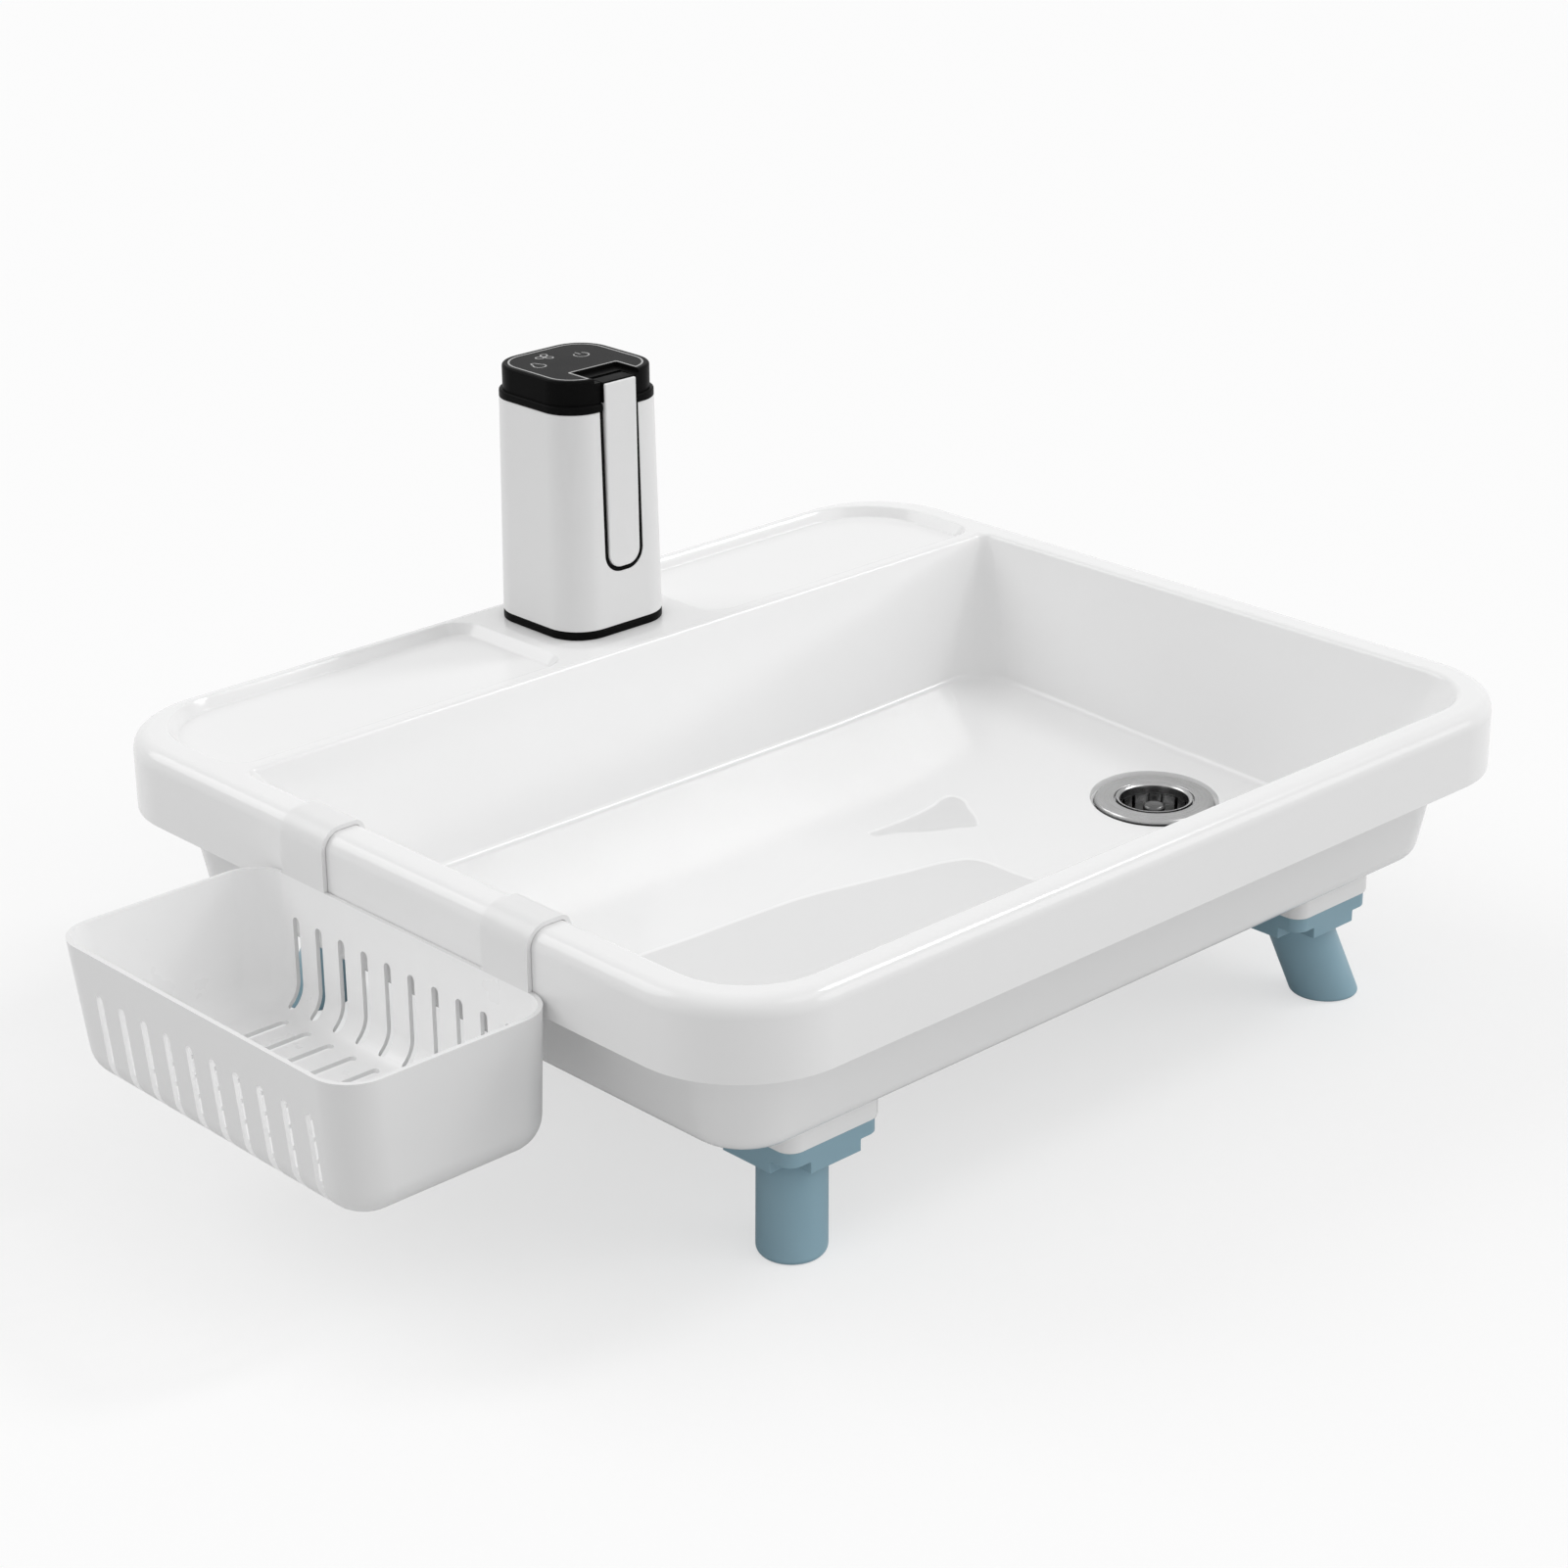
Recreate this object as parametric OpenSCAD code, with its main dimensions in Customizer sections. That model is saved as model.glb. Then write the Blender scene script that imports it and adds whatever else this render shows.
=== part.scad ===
// Portable sink: a tub with a back ledge on four splayed legs, a hand pump unit with a
// folding spout on the ledge, a lift-out drain strainer and a basket hung on the rim.
// Millimetres. +X to the drain end, -Y to the front, +Z up, and the legs stand on Z = 0.

/* [Rim and skirt] */
// Length of the rim, left to right
rim_l = 604; // [560:1:660]
// Width of the rim, front to back
rim_w = 517; // [480:1:560]
// Radius of the rim's corners in plan
rim_r = 62; // [50:1:75]
// Height of the rim's top face over the ground
rim_h = 175; // [168:1:200]
// Rounding of the rim's outer top edge
rim_fillet = 8; // [4:0.5:10]
// Height of the skirt that hangs from the rim
skirt_h = 42; // [36:1:46]
// Wall of the moulded tub, rim and pan
wall = 3; // [2.5:0.1:3.4]

/* [Tub] */
// Flat of the rim in front of the tub
front_flat = 17; // [14:0.5:24]
// Flat of the rim beside the tub
side_flat = 21; // [18:0.5:28]
// Depth of the back ledge, from the outer edge to the tub
ledge_d = 116; // [108:1:124]
// Depth of the tub floor at its back edge
floor_back = 80; // [74:1:82]
// Depth of the tub floor at its front edge
floor_front = 91; // [85:1:92]
// Inward lean of the side walls, top to floor
side_lean = 31; // [20:1:36]
// Inward lean of the front wall, top to floor
front_lean = 32; // [28:1:38]
// Inward lean of the back wall, top to floor
back_lean = 25; // [18:1:30]
// Plan radius of the tub's front corners
front_r = 44; // [34:1:48]
// Plan radius of the tub's back corners at the top
back_r = 7; // [5:1:14]
// Plan radius of the tub's back corners at the floor
back_floor_r = 30; // [20:1:36]
// Rounding between the tub's walls and floor
floor_fillet = 10; // [6:0.5:14]
// Eased edge round the mouth of the tub
mouth_ease = 2.5; // [1:0.5:4]

/* [Ledge trays] */
// Depth of the two shallow trays in the ledge
tray_d = 6; // [4:0.5:8]
// Lean of the trays' walls
tray_lean = 3; // [1:0.5:4]
// Width of the ridge between the trays and the tub
tray_ridge = 9; // [7:0.5:12]
// Flat of the rim behind the trays
tray_back = 12; // [11:0.5:16]
// Length of the flat seat between the trays
seat_l = 113; // [104:1:124]
// Radius of the trays' outer back corners
tray_big_r = 50; // [40:1:52]
// Radius of the trays' other corners
tray_small_r = 9; // [7:0.5:12]

/* [Pan under the tub] */
// Inset of the pan from the skirt's outer face, at the skirt's lower edge
pan_inset = 25; // [23:0.5:27]
// Further inset of the pan at its bottom
pan_lean = 9; // [7:0.5:12]
// Depth of the pan's bottom below the rim's top
pan_depth = 98.5; // [98:0.5:102]
// Plan radius of the pan's corners
pan_r = 41; // [34:1:46]
// Rounding of the pan's bottom edge
pan_fillet = 11; // [8:0.5:14]
// Height of the pan's wall above the skirt's lower edge
pan_rise = 8; // [6:0.5:9]
// Outer diameter of the screw bosses under the rim
boss_d = 8; // [7:0.25:8.5]
// Diameter of the screws' shanks
screw_d = 3; // [2.5:0.1:3.5]
// Length of the screws' shanks
screw_len = 14; // [10:0.5:16]

/* [Legs] */
// Distance of the middle of each leg's plate from the rim's nearer end
leg_end = 109.5; // [99.5:0.5:117]
// Distance of the middle of each leg's plate from the rim's front or back
leg_side = 79; // [76:0.5:86.5]
// Side of the square plate on top of each leg
plate_w = 62; // [56:1:66]
// Corner radius of the plate
plate_r = 8; // [6:0.5:10]
// Thickness of the plate
plate_t = 8.2; // [6:0.2:9]
// Thickness of the notched collar under the plate
collar_t = 6.4; // [4:0.2:8]
// Side of the square notch in each corner of the collar
collar_notch = 14; // [10:0.5:15]
// Diameter of the leg's stub
stub_d = 36; // [33:0.5:38]
// How far the stub's top stands outwards from the middle of the plate
stub_out = 2.5; // [0:0.5:4]
// How far the stub leans out to each side on its way to the ground
stub_lean = 13; // [8:0.5:16]
// Height of the socket block under each corner of the pan
block_h = 14.7; // [14:0.1:18]
// Side of the spigot that plugs into the socket block
spigot_w = 36; // [30:1:40]
// Height of the spigot
spigot_h = 12; // [9:0.5:12]

/* [Drain] */
// Distance of the drain from the rim's right end
drain_end = 113; // [110:1:122]
// Distance of the drain from the rim's front
drain_side = 177.5; // [163.5:0.5:188.5]
// Diameter of the drain's steel flange
flange_d = 69; // [64:0.5:74]
// Thickness of the flange at its rim
flange_t = 3; // [2:0.25:4]
// Diameter of the opening in the flange
throat_d = 46; // [44:0.5:48]
// Outer diameter of the drain's threaded body
drain_tube_d = 50; // [50:0.5:52]
// Height of the drain's threaded body under the floor
drain_tube_h = 34; // [30:1:38]
// Outer diameter of the tail that takes the waste hose
tail_d = 32; // [26:0.5:34]
// Bore of the tail
tail_bore = 26; // [20:0.5:28]
// Length of the tail
tail_h = 26; // [20:1:30]
// Diameter of the lock nut
nut_d = 68; // [64:0.5:74]
// Height of the lock nut
nut_h = 9; // [7:0.5:11]
// Thickness of the rubber gaskets
gasket_t = 2; // [1.5:0.25:2.5]
// Diameter of the strainer cup at its top
cup_d = 42; // [38:0.5:43]
// Depth of the strainer cup
cup_h = 20; // [14:0.5:24]
// Thickness of the strainer's steel
cup_t = 1; // [0.8:0.1:1.4]

/* [Hanging basket] */
// Length of the basket along the rim
basket_l = 240; // [220:1:260]
// Reach of the basket from the skirt at its top edge
basket_w = 128; // [110:1:140]
// Depth of the basket from its top edge to its bottom
basket_h = 76; // [66:1:84]
// Drop of the basket's top edge below the rim's top
basket_drop = 31; // [26:0.5:36]
// Distance of the basket's middle from the sink's middle, to the front
basket_y = 19; // [10:1:26]
// Plan radius of the basket's corners
basket_r = 22; // [18:1:28]
// Rounding of the basket's bottom edge
basket_fillet = 18; // [12:1:20]
// Lean of the basket's outer wall
basket_lean = 6; // [3:0.5:8]
// Lean of the basket's end walls
basket_end_lean = 3.5; // [2:0.5:6]
// Wall of the basket and its hooks
basket_t = 2.4; // [2:0.1:3]
// Number of drain slots in each long wall
slot_n = 10; // [6:1:11]
// Distance between the slots
slot_pitch = 19; // [17:0.5:20]
// Width of a slot
slot_w = 5.5; // [4:0.25:7]
// Drop of the slots' upper ends below the basket's top edge
slot_drop = 22; // [18:1:28]
// Distance from the wall at the rim to the ends of the slots that cross the floor
slot_stop = 19; // [17:0.5:40]
// Reach of the slots in the wall at the rim into the floor
slot_in = 7; // [5:0.5:9]
// Shift of the slots in each long wall, backwards at the rim and forwards in the outer wall
slot_shift = 3.5; // [0:0.5:5]
// Width of each of the two hooks
hook_w = 38; // [32:1:44]
// Distance of the hooks from the basket's middle
hook_y = 82; // [74:1:88]
// Drop of the hooks' lips inside the tub
hook_lip = 16; // [10:1:20]
// Clearance between the basket and the rim it hangs on
hook_gap = 0.3; // [0.2:0.05:0.6]

/* [Pump housing] */
// Distance of the pump from the sink's middle, to the right
pump_x = 4.5; // [0:0.5:10]
// Distance of the pump's middle from the rim's back edge
pump_back = 54.5; // [54:0.5:58]
// Side of the pump's square foot
pump_w = 78.5; // [74:0.5:82]
// How much narrower the housing is just under the cap
pump_taper = 4; // [1:0.5:5]
// Plan radius of the pump's corners
pump_r = 22; // [20:0.5:23]
// Height of the black foot
foot_h = 5; // [4:0.25:7]
// Height of the white housing
shell_h = 128.5; // [120:0.5:140]
// Wall of the white housing
shell_t = 2; // [1.6:0.1:2.4]
// Height of the cap
cap_h = 19; // [17:0.5:22]
// Height of the step round the cap's lower edge
cap_step = 4.5; // [3:0.25:6]
// How much narrower the cap is above the step than the housing's top
cap_less = 2.5; // [1.5:0.25:4]
// Width of the recess in the cap behind the spout
recess_w = 33; // [31:0.5:35]
// Reach of the recess behind the housing's front
recess_l = 23; // [20:0.5:26]
// Depth of the recess
recess_d = 2.5; // [1.5:0.25:2.75]
// Eased edge round the cap's top
cap_ease = 1.5; // [0.5:0.25:2]
// Thickness of the touch panel
panel_t = 1.2; // [1:0.1:1.6]
// Margin of cap round the touch panel
panel_margin = 3.5; // [3:0.25:5]

/* [Spout] */
// Width of the spout arm
arm_w = 23; // [22:0.5:25]
// Length of the spout arm
arm_l = 110.5; // [100:0.5:118]
// Corner radius of the arm's free end
arm_r = 9; // [6:0.5:10]
// Thickness of the spout arm
arm_t = 8; // [7:0.25:8.5]
// Gap between the arm and the cradle that it folds into
arm_gap = 0.7; // [0.5:0.05:1]
// Wall of the cradle
cradle_t = 1.8; // [1.4:0.1:2]
// Depth of the cradle behind the arm's front face
cradle_d = 13.5; // [13:0.25:14.5]
// Distance of the hinge below the knuckle's top and behind the arm's front face
hinge_in = 6; // [5.5:0.25:6.5]
// Thickness of the arm in front of the black knuckle
arm_skin = 2; // [1.5:0.25:3]
// Diameter of the hinge pin
pin_d = 3; // [2.5:0.1:3.4]
// Length of the hinge pin
pin_l = 36; // [32:0.5:38]
// Bore of the water way in the arm
water_d = 4; // [3:0.25:4.5]
// Diameter of the nozzle at the arm's free end
nozzle_d = 11; // [9:0.5:13]
// Height that the nozzle stands out of the arm
nozzle_h = 2.5; // [2:0.25:3]

/* [Pump inside] */
// Diameter of the battery cell
cell_d = 18.4; // [18:0.1:19]
// Length of the battery cell
cell_l = 65; // [60:0.5:70]
// Diameter of the pump motor
motor_d = 24; // [22:0.5:26]
// Length of the pump motor
motor_l = 34; // [30:1:40]
// Height of the pump head under the motor
head_h = 16; // [12:0.5:20]
// Outer diameter of the riser that feeds the spout
riser_d = 7; // [6:0.5:8]
// Bore of the riser
riser_bore = 4; // [3:0.5:4.5]
// Diameter of the inlet that takes the suction hose
inlet_d = 8; // [7:0.25:9]
// Bore of the inlet
inlet_bore = 4.5; // [3.5:0.25:5]
// Reach of the inlet below the ledge
inlet_reach = 30; // [24:1:36]
// Width of the charging port
port_w = 9; // [8.5:0.25:9.5]
// Height of the charging port
port_h = 3.4; // [3.2:0.1:3.8]

/* [Fits] */
// Gap between moulded pieces that sit face to face
seat_gap = 0.3; // [0.2:0.05:0.4]
// Radial clearance of pins, screws and strainer in their holes
fit = 0.1; // [0.05:0.01:0.2]

/* [Hidden] */

skin = 0.02;
over = 1;
round_fn = 48;
hull_fn = 32;

rim_x = rim_l / 2;
rim_y = rim_w / 2;
skirt_z = rim_h - skirt_h;
tub_x = rim_x - side_flat;
tub_front = rim_y - front_flat;
tub_back = rim_y - ledge_d;
floor_flat = front_lean + 2 * front_r - floor_fillet - tub_front;
floor_end = tub_back - back_lean - floor_fillet;
lean_rate = side_lean / (floor_back - floor_fillet);
shift_x = (basket_w + hook_gap) / 2;

// Depth of the tub floor at a distance behind the middle: level in front, then rising
function floor_at(y) = floor_front
    - (floor_front - floor_back) * max(0, (y - floor_flat) / (floor_end - floor_flat));

tray_end = seat_l / 2;
tray_w = ledge_d - tray_back - tray_ridge;

leg_x = rim_x - leg_end;
leg_y = rim_y - leg_side;
drain_x = rim_x - drain_end;
drain_y = rim_y - drain_side;

pan_z = rim_h - pan_depth;
pan_top = skirt_z + pan_rise;
pan_x = rim_x - pan_inset;
pan_y = rim_y - pan_inset;
block_w = plate_w + 2 * seat_gap + 2;
block_z = pan_z - block_h;
plate_z = block_z - plate_t;
collar_z = plate_z - collar_t;
boss_in = (wall + side_flat) / 2;
boss_in_front = wall + boss_d / 2;
boss_spread = 0.36;

pad_r = flange_d / 2 + wall;
seat_sink = 0.4;
seat_z = rim_h - floor_at(-drain_y - pad_r) - seat_sink;
under_z = seat_z - wall;
flange_z = seat_z + gasket_t;
flange_top = flange_z + flange_t;
tube_z = flange_z - drain_tube_h;
tube_r = drain_tube_d / 2;
nut_z = under_z - gasket_t - nut_h;
collar_wall = 4;
collar_h = 12;
rebate = 1.6;

cup_z = flange_top - rebate;
cup_r = cup_d / 2;
lip_r = throat_d / 2 - seat_gap;
cup_slots = 14;

basket_x = -rim_x - hook_gap;
basket_top = rim_h - basket_drop;
basket_z = basket_top - basket_h;
slot_top = basket_top - slot_drop;

pump_y = rim_y - pump_back;
shell_z = rim_h + foot_h;
plug_h = 4;
plug_z = shell_z + plug_h;
pump_top_w = pump_w - pump_taper;
cap_w = pump_top_w - cap_less;
cap_z = shell_z + shell_h;
cap_top = cap_z + cap_h;
cap_wall = 2.5;
cap_roof = 3;
inside_w = pump_top_w - 2 * shell_t;
post_at = inside_w / 2 - 8;
post_r = 4;
post_h = 22;

front_y = -pump_w / 2;
arm_top = cap_top - recess_d;
arm_drop = 0.6;
arm_z = arm_top - arm_l;
hinge_y = front_y + hinge_in;
hinge_z = arm_top - hinge_in;
knuckle_z = hinge_z - hinge_in;
notch_w = arm_w + 2 * arm_gap;
cradle_w = notch_w + 2 * cradle_t;
pocket_y = front_y + cradle_d - cradle_t;
sweep_r = hinge_in * sqrt(2) + arm_gap;
cheek_w = pin_l + 0.6;
cheek_y = hinge_y + sweep_r + riser_d;
nozzle_z = arm_z + arm_w / 2;
ledge_hole = 14;

motor_y = 4;
cell_gap = 0.9;
cell_x = inside_w / 2 - cell_gap - cell_d / 2;
head_margin = 2;
riser_x = -notch_w / 2 - riser_d / 2 + 1;
riser_y = front_y + cradle_d + riser_d / 2 + 1.5;
head_x = [riser_x - riser_d / 2 - head_margin, cell_x - cell_d / 2 - 1];
head_y = [riser_y - riser_d / 2 - head_margin, motor_y + motor_d / 2 + head_margin];
board_t = 1.6;

// Points of an arc that turns from one angle to another
function arc(x, y, r, from, to, steps = 8) =
    [for (i = [0:steps]) let (a = from + (to - from) * i / steps) [x + r * cos(a), y + r * sin(a)]];

module round_rect(l, w, r) {
    square([l - 2 * r, w], center = true);
    square([l, w - 2 * r], center = true);
    for (x = [-1, 1], y = [-1, 1])
        translate([x * (l / 2 - r), y * (w / 2 - r)]) circle(r, $fn = round_fn);
}

module tube(outer_r, inner_r, h) {
    difference() {
        cylinder(r = outer_r, h = h, $fn = round_fn);
        translate([0, 0, -over]) cylinder(r = inner_r, h = h + 2 * over, $fn = round_fn);
    }
}

module disc(x, y, r, z) {
    translate([x, y, z]) cylinder(r = r, h = skin, $fn = round_fn);
}

// Four thin discs, one in each corner of a rectangle, for a hull to join
module level(x0, x1, y0, y1, r, z) {
    for (x = [x0 + r, x1 - r], y = [y0 + r, y1 - r]) disc(x, y, r, z);
}

module in_place() {
    translate([shift_x, 0, 0]) children();
}

// One corner of a slab whose bottom edge is rounded: cones stacked along the fillet, which
// narrow down to the flat face at a height
module round_corner(x, y, r, z, fillet, steps = 6) {
    for (i = [0:steps - 1]) {
        wide = 90 * i / steps;
        tight = 90 * (i + 1) / steps;
        translate([x, y, z + fillet * (1 - sin(tight))]) cylinder(h = fillet * (sin(tight) - sin(wide)),
            r1 = r - fillet * (1 - cos(tight)), r2 = r - fillet * (1 - cos(wide)), $fn = round_fn);
    }
}

// The four corners of a slab with a rounded bottom edge, for a hull to join
module round_level(x0, x1, y0, y1, r, z, fillet) {
    for (x = [x0 + r, x1 - r], y = [y0 + r, y1 - r]) round_corner(x, y, r, z, fillet);
}

module rim_block() {
    hull() {
        level(-rim_x, rim_x, -rim_y, rim_y, rim_r, skirt_z);
        translate([0, 0, rim_h]) mirror([0, 0, 1])
            round_level(-rim_x, rim_x, -rim_y, rim_y, rim_r, 0, rim_fillet);
    }
}

// The tub's hollow, or its outside when grown by the wall
module tub_form(grow, top) {
    up = (top - rim_h) / (floor_back - floor_fillet);
    hull() for (x = [-1, 1]) {
        disc(x * (tub_x + side_lean * up - front_r), front_r - tub_front - front_lean * up,
            front_r + grow, top - skin);
        disc(x * (tub_x + side_lean * up - back_r), tub_back + back_lean * up - back_r,
            back_r + grow, top - skin);
        round_corner(x * (tub_x - side_lean - front_r), front_lean + front_r - tub_front,
            front_r + grow, rim_h - floor_front - grow, floor_fillet + grow, 4);
        round_corner(x * (tub_x - side_lean - back_floor_r), tub_back - back_lean - back_floor_r,
            back_floor_r + grow, rim_h - floor_back - grow, floor_fillet + grow, 4);
    }
}

// The eased edge of the tub's mouth, down to where it meets the leaning walls
module tub_mouth() {
    hull() for (x = [-1, 1], step = [0, 1]) {
        out = step > 0 ? mouth_ease : -mouth_ease * lean_rate;
        z = rim_h - mouth_ease * (1 - step);
        disc(x * (tub_x - front_r), front_r - tub_front, front_r + out, z);
        disc(x * (tub_x - back_r), tub_back - back_r, back_r + out, z);
    }
}

// Outline of a tray's hollow; its inner end lies on X = 0 and its front on Y = 0
module tray_outline(l, inset) {
    big = tray_big_r - inset;
    translate([inset, inset]) difference() {
        translate([l / 2 - inset, tray_w / 2 - inset])
            round_rect(l - 2 * inset, tray_w - 2 * inset, tray_small_r - inset);
        difference() {
            translate([l - 2 * inset - big, tray_w - 2 * inset - big]) square(big + over);
            translate([l - 2 * inset - big, tray_w - 2 * inset - big]) circle(big, $fn = 2 * round_fn);
        }
    }
}

// Puts a right-hand tray on the ledge, or mirrors it for the left
module tray_place(side) {
    translate([pump_x + side * tray_end, tub_back + tray_ridge, rim_h - tray_d])
        mirror([side < 0 ? 1 : 0, 0, 0]) children();
}

function tray_l(side) = tub_x - side * pump_x - tray_end;

module tray_hollow(side) {
    tray_place(side) hull() {
        linear_extrude(skin) tray_outline(tray_l(side), tray_lean);
        translate([0, 0, tray_d]) linear_extrude(skin) tray_outline(tray_l(side), 0);
    }
}

// Places of the screws that hold the pan: front, back and both sides
screw_places = [
    for (x = [-1, 0, 1], y = [-1, 1]) [x * rim_l * boss_spread, y * (rim_y - boss_in_front)],
    for (x = [-1, 1], y = [-1, 1]) [x * (rim_x - boss_in), y * tub_front / 2 - back_lean]
];

module basin() color("white") in_place() {
    difference() {
        union() {
            difference() {
                rim_block();
                translate([0, 0, skirt_z - over]) linear_extrude(skirt_h + over - wall - 1)
                    round_rect(rim_l - 2 * wall, rim_w - 2 * wall, rim_r - wall);
            }
            tub_form(wall, rim_h - wall);
            for (side = [-1, 1]) tray_place(side) translate([0, 0, -wall])
                linear_extrude(tray_d) tray_outline(tray_l(side), -wall);
            for (p = screw_places) translate([p[0], p[1], pan_top])
                cylinder(d = boss_d, h = rim_h - wall - pan_top, $fn = round_fn);
            translate([drain_x, -drain_y, under_z])
                cylinder(r = pad_r, h = 2 * wall, $fn = 2 * round_fn);
        }
        tub_form(0, rim_h + over);
        tub_mouth();
        for (side = [-1, 1]) tray_hollow(side);
        translate([drain_x, -drain_y, seat_z])
            cylinder(d = flange_d + 2, h = 2 * wall, $fn = 2 * round_fn);
        translate([drain_x, -drain_y, under_z - over])
            cylinder(r = tube_r + seat_gap, h = 2 * wall, $fn = round_fn);
        translate([pump_x, pump_y + motor_y, rim_h - 3 * wall])
            cylinder(d = ledge_hole, h = 4 * wall, $fn = round_fn);
        for (p = screw_places) translate([p[0], p[1], pan_top - over])
            cylinder(r = screw_d / 2 + fit, h = screw_len - wall + 2 * over, $fn = hull_fn);
    }
}

module pan_form(grow) {
    rise = pan_rise / (pan_depth - skirt_h) * pan_lean;
    hull() {
        level(-pan_x - rise - grow, pan_x + rise + grow, -pan_y - rise - grow, pan_y + rise + grow,
            pan_r + rise + grow, pan_top - (grow < 0 ? 0 : skin));
        inset = pan_lean - grow;
        round_level(inset - pan_x, pan_x - inset, inset - pan_y, pan_y - inset, pan_r - inset,
            pan_z - grow, pan_fillet + grow);
    }
}

module at_legs() {
    for (x = [-1, 1], y = [-1, 1]) translate([x * leg_x, y * leg_y, 0]) children();
}

module under_pan() color("white") in_place() {
    difference() {
        union() {
            difference() {
                pan_form(0);
                pan_form(-wall);
            }
            translate([0, 0, pan_top - wall]) difference() {
                linear_extrude(wall) round_rect(rim_l - 2 * wall - 2 * seat_gap,
                    rim_w - 2 * wall - 2 * seat_gap, rim_r - wall - seat_gap);
                translate([0, 0, -over]) linear_extrude(wall + 2 * over)
                    round_rect(2 * (pan_x + seat_gap), 2 * (pan_y + seat_gap), pan_r + seat_gap);
            }
            at_legs() translate([0, 0, block_z])
                linear_extrude(block_h + wall) round_rect(block_w, block_w, plate_r + 1);
        }
        at_legs() translate([0, 0, block_z - over])
            linear_extrude(spigot_h + seat_gap + over)
                round_rect(spigot_w + 2 * seat_gap, spigot_w + 2 * seat_gap, plate_r / 2);
        translate([drain_x, -drain_y, pan_z - over])
            cylinder(r = nut_d / 2 + 4, h = wall + 2 * over, $fn = 2 * round_fn);
        translate([pump_x, pump_y + motor_y, pan_z - over])
            cylinder(d = ledge_hole, h = wall + 2 * over, $fn = round_fn);
        for (p = screw_places) translate([p[0], p[1], pan_top - wall - over])
            cylinder(r = screw_d / 2 + fit, h = wall + 2 * over, $fn = hull_fn);
    }
}

module screw(d, length) {
    cylinder(d = d, h = length, $fn = hull_fn);
    translate([0, 0, -0.6 * d]) cylinder(d = 2 * d, h = 0.6 * d, $fn = hull_fn);
}

module pan_screws() color("silver") in_place() {
    for (p = screw_places) translate([p[0], p[1], pan_top - wall]) screw(screw_d, screw_len);
}

// A leg for the back right corner; the other three are its mirror images
module leg() {
    tilt = atan2(stub_lean * sqrt(2), collar_z);
    slant = norm([stub_lean, stub_lean, collar_z]);
    translate([leg_x, leg_y, 0]) {
        translate([0, 0, block_z]) linear_extrude(spigot_h)
            round_rect(spigot_w, spigot_w, plate_r / 2 - seat_gap);
        translate([0, 0, plate_z]) linear_extrude(plate_t) round_rect(plate_w, plate_w, plate_r);
        translate([0, 0, collar_z]) linear_extrude(collar_t) {
            square([plate_w, plate_w - 2 * collar_notch], center = true);
            square([plate_w - 2 * collar_notch, plate_w], center = true);
        }
        intersection() {
            translate([stub_out, stub_out, collar_z]) rotate([0, 0, 45]) rotate([0, 180 - tilt, 0])
                translate([0, 0, -stub_d / 2]) cylinder(d = stub_d, h = slant + stub_d, $fn = round_fn);
            translate([-plate_w, -plate_w, 0]) cube([2 * plate_w, 2 * plate_w, collar_z + over]);
        }
    }
}

module leg_at(x, y) {
    color("#7b9baa") in_place() mirror([x < 0 ? 1 : 0, 0, 0]) mirror([0, y < 0 ? 1 : 0, 0]) leg();
}

module leg_front_left() { leg_at(-1, -1); }
module leg_front_right() { leg_at(1, -1); }
module leg_back_left() { leg_at(-1, 1); }
module leg_back_right() { leg_at(1, 1); }

module at_drain() {
    in_place() translate([drain_x, -drain_y, 0]) children();
}

module drain_flange() color("silver") at_drain() rotate_extrude($fn = 2 * round_fn)
    polygon(concat(
        [[cup_r + 1, tube_z], [tube_r, tube_z], [tube_r, flange_z], [flange_d / 2, flange_z]],
        arc(flange_d / 2 - flange_t / 2, flange_top - flange_t / 2, flange_t / 2, 0, 90, 6),
        [[throat_d / 2 + 3, flange_top], [throat_d / 2, flange_top - 0.6],
         [throat_d / 2, cup_z], [cup_r + 1, cup_z]]
    ));

module drain_gasket() color("#303030") at_drain() translate([0, 0, seat_z])
    tube(flange_d / 2 - 1, tube_r + fit, gasket_t);

module drain_washer() color("#303030") at_drain() translate([0, 0, under_z - gasket_t])
    tube(nut_d / 2 - 1, tube_r + fit, gasket_t);

module drain_nut() color("gainsboro") at_drain() translate([0, 0, nut_z])
    linear_extrude(nut_h) difference() {
        union() {
            circle(d = nut_d - 6, $fn = 2 * round_fn);
            for (a = [0:45:315]) rotate(a) translate([tube_r + 1, -4]) square([nut_d / 2 - tube_r - 1, 8]);
        }
        circle(r = tube_r + fit, $fn = 2 * round_fn);
    }

module waste_tail() color("gainsboro") at_drain() rotate_extrude($fn = 2 * round_fn)
    polygon([
        [tail_bore / 2, tube_z - 3 - tail_h], [tail_d / 2 - 1, tube_z - 3 - tail_h],
        [tail_d / 2, tube_z - 2 - tail_h], [tail_d / 2, tube_z - 7],
        [tube_r + collar_wall, tube_z - 3], [tube_r + collar_wall, tube_z - 3 + collar_h],
        [tube_r + fit, tube_z - 3 + collar_h], [tube_r + fit, tube_z], [tail_bore / 2, tube_z]
    ]);

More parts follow.
